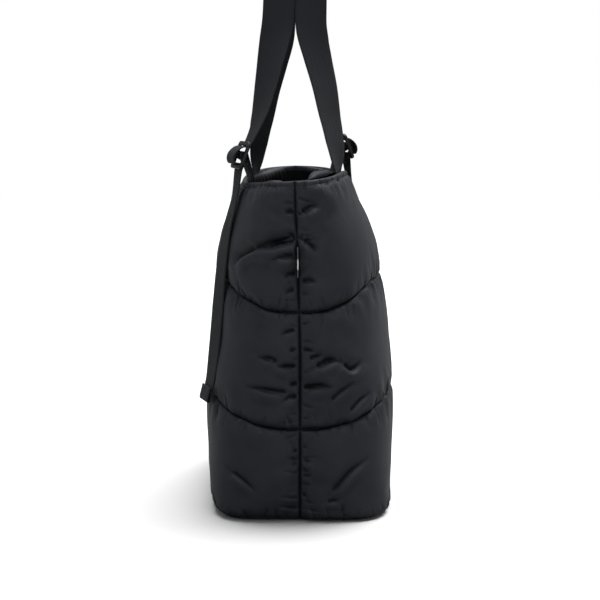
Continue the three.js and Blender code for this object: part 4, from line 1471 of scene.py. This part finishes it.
def fold_box(side):
    place, width, out, down, apart = fold_places[side]
    corners = []
    for along, across in (("low", -1), ("low", 1), ("high", 1), ("high", -1), ("low", -1)):
        at = place + down * FOLD_BOX[along] * FOLDED_LENGTH
        at = at + width * across * FOLD_BOX["across"] * WEBBING_WIDTH
        corners.append(at + out * (apart + WEBBING_THICKNESS / 2 + STITCH_LIFT))
    return corners


for word, side in (("front", FRONT), ("back", BACK)):
    sew(f"{word}_seam_stitches", [lifted(line[2:-2], side) for line in seam_lines[side]], **SEAM_STITCH)
    sew(f"{word}_tail_stitches", [fold_box(side)], **WEBBING_STITCH)

# %% [markdown]
# ## Joining the frame
#
# Every piece stands for one solid of the frame, which is hidden, rides on the bag's one body, and is given
# its material.

# %% Pieces and what they stand for


def dress(piece, node, finish):
    piece.data.materials.clear()
    piece.data.materials.append(finishes[finish])
    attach(piece, "root")
    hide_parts(node)


dress(base_cloth, "base_panel", "shell")
dress(lining_cloth, "lining", "lining")
dress(blank_label, "side_label", "label")
for word, side in (("front", FRONT), ("back", BACK)):
    dress(panels[side], f"{word}_panel", "shell")
    dress(handles[side], f"{word}_handle", "webbing")
    dress(tabs[side], f"{word}_slider_tab", "webbing")
    dress(sliders[side], f"{word}_slider", "slider")

# %% [markdown]
# ## Studio
#
# The bag is seen from its narrow end, a little from above, on a white floor. In such a picture the white
# background is brighter than anything it lights. So the paper and the sky each have two strengths, one
# for the camera and a weaker one for the light they give off, and a Light Path node picks between them.
# A wide soft sun stands for the light from above. The two lamps light the bag and not the floor, which
# keeps the shadow under the bag.

# %% Floor and camera

bpy.ops.mesh.primitive_plane_add(size=12, location=(0, 0, 0))
floor = bpy.context.object
floor.name = "studio_floor"
PAPER_SEEN, PAPER_BOUNCE = 0.85, 0.34
paper = Nodes("white paper")
seen = paper.put(paper.add("ShaderNodeBsdfDiffuse"), Color=(PAPER_SEEN, PAPER_SEEN, PAPER_SEEN, 1))
bounce = paper.put(paper.add("ShaderNodeBsdfDiffuse"), Color=(PAPER_BOUNCE, PAPER_BOUNCE, PAPER_BOUNCE, 1))
either = paper.add("ShaderNodeMixShader")
output = paper.tree.nodes["Material Output"]
paper.tree.links.new(paper.add("ShaderNodeLightPath").outputs["Is Camera Ray"], either.inputs[0])
paper.tree.links.new(bounce.outputs["BSDF"], either.inputs[1])
paper.tree.links.new(seen.outputs["BSDF"], either.inputs[2])
paper.tree.links.new(either.outputs["Shader"], output.inputs["Surface"])
floor.data.materials.append(paper.material)

CAMERA_LENS, CAMERA_SENSOR = 106.2, 36
CAMERA_PLACE, CAMERA_TILT = (2.215, 0, 0.492), 83.3
lens = bpy.data.cameras.new("camera")
lens.lens = CAMERA_LENS
lens.sensor_width = CAMERA_SENSOR
camera = bpy.data.objects.new("camera", lens)
camera.location = CAMERA_PLACE
camera.rotation_euler = (math.radians(CAMERA_TILT), 0, math.radians(90))
bpy.context.scene.collection.objects.link(camera)
bpy.context.scene.camera = camera
print("camera at", CAMERA_PLACE, "m, with a lens of", CAMERA_LENS, "mm")

# %% Lights

SUN_FROM, SUN_ENERGY, SUN_ANGLE = (-0.44, 0.18, 1.0), 5.4, 56


def soft_light(name, place, aim, size, power):
    lamp = bpy.data.lights.new(name, "AREA")
    lamp.size = size
    lamp.energy = power
    made = bpy.data.objects.new(name, lamp)
    made.location = place
    made.rotation_euler = (Vector(aim) - Vector(place)).to_track_quat("-Z", "Y").to_euler()
    bpy.context.scene.collection.objects.link(made)
    return made


lamps = [
    soft_light("key", (1.25, -0.45, 2.3), (0.2, 0, 0.2), 1.0, 18),
    soft_light("fill", (2.4, 0.9, 0.2), (0, 0, 0.12), 1.4, 9),
]
lit = bpy.data.collections.new("lit by the lamps")
for piece in bpy.context.scene.objects:
    if piece.type == "MESH" and piece != floor:
        lit.objects.link(piece)
for lamp in lamps:
    lamp.light_linking.receiver_collection = lit
sky = bpy.data.lights.new("overhead", "SUN")
sky.energy = SUN_ENERGY
sky.angle = math.radians(SUN_ANGLE)
overhead = bpy.data.objects.new("overhead", sky)
overhead.rotation_euler = (-Vector(SUN_FROM)).to_track_quat("-Z", "Y").to_euler()
bpy.context.scene.collection.objects.link(overhead)

world = bpy.data.worlds.new("white studio")
world.use_nodes = True
background = world.node_tree.nodes["Background"]
background.inputs["Color"].default_value = (1, 1, 1, 1)
SKY_SEEN, SKY_LIGHT = 1.0, 0.24
strength = world.node_tree.nodes.new("ShaderNodeMapRange")
strength.inputs["To Min"].default_value = SKY_LIGHT
strength.inputs["To Max"].default_value = SKY_SEEN
path = world.node_tree.nodes.new("ShaderNodeLightPath")
world.node_tree.links.new(path.outputs["Is Camera Ray"], strength.inputs["Value"])
world.node_tree.links.new(strength.outputs["Result"], background.inputs["Strength"])
bpy.context.scene.world = world
bpy.context.scene.view_settings.view_transform = "Standard"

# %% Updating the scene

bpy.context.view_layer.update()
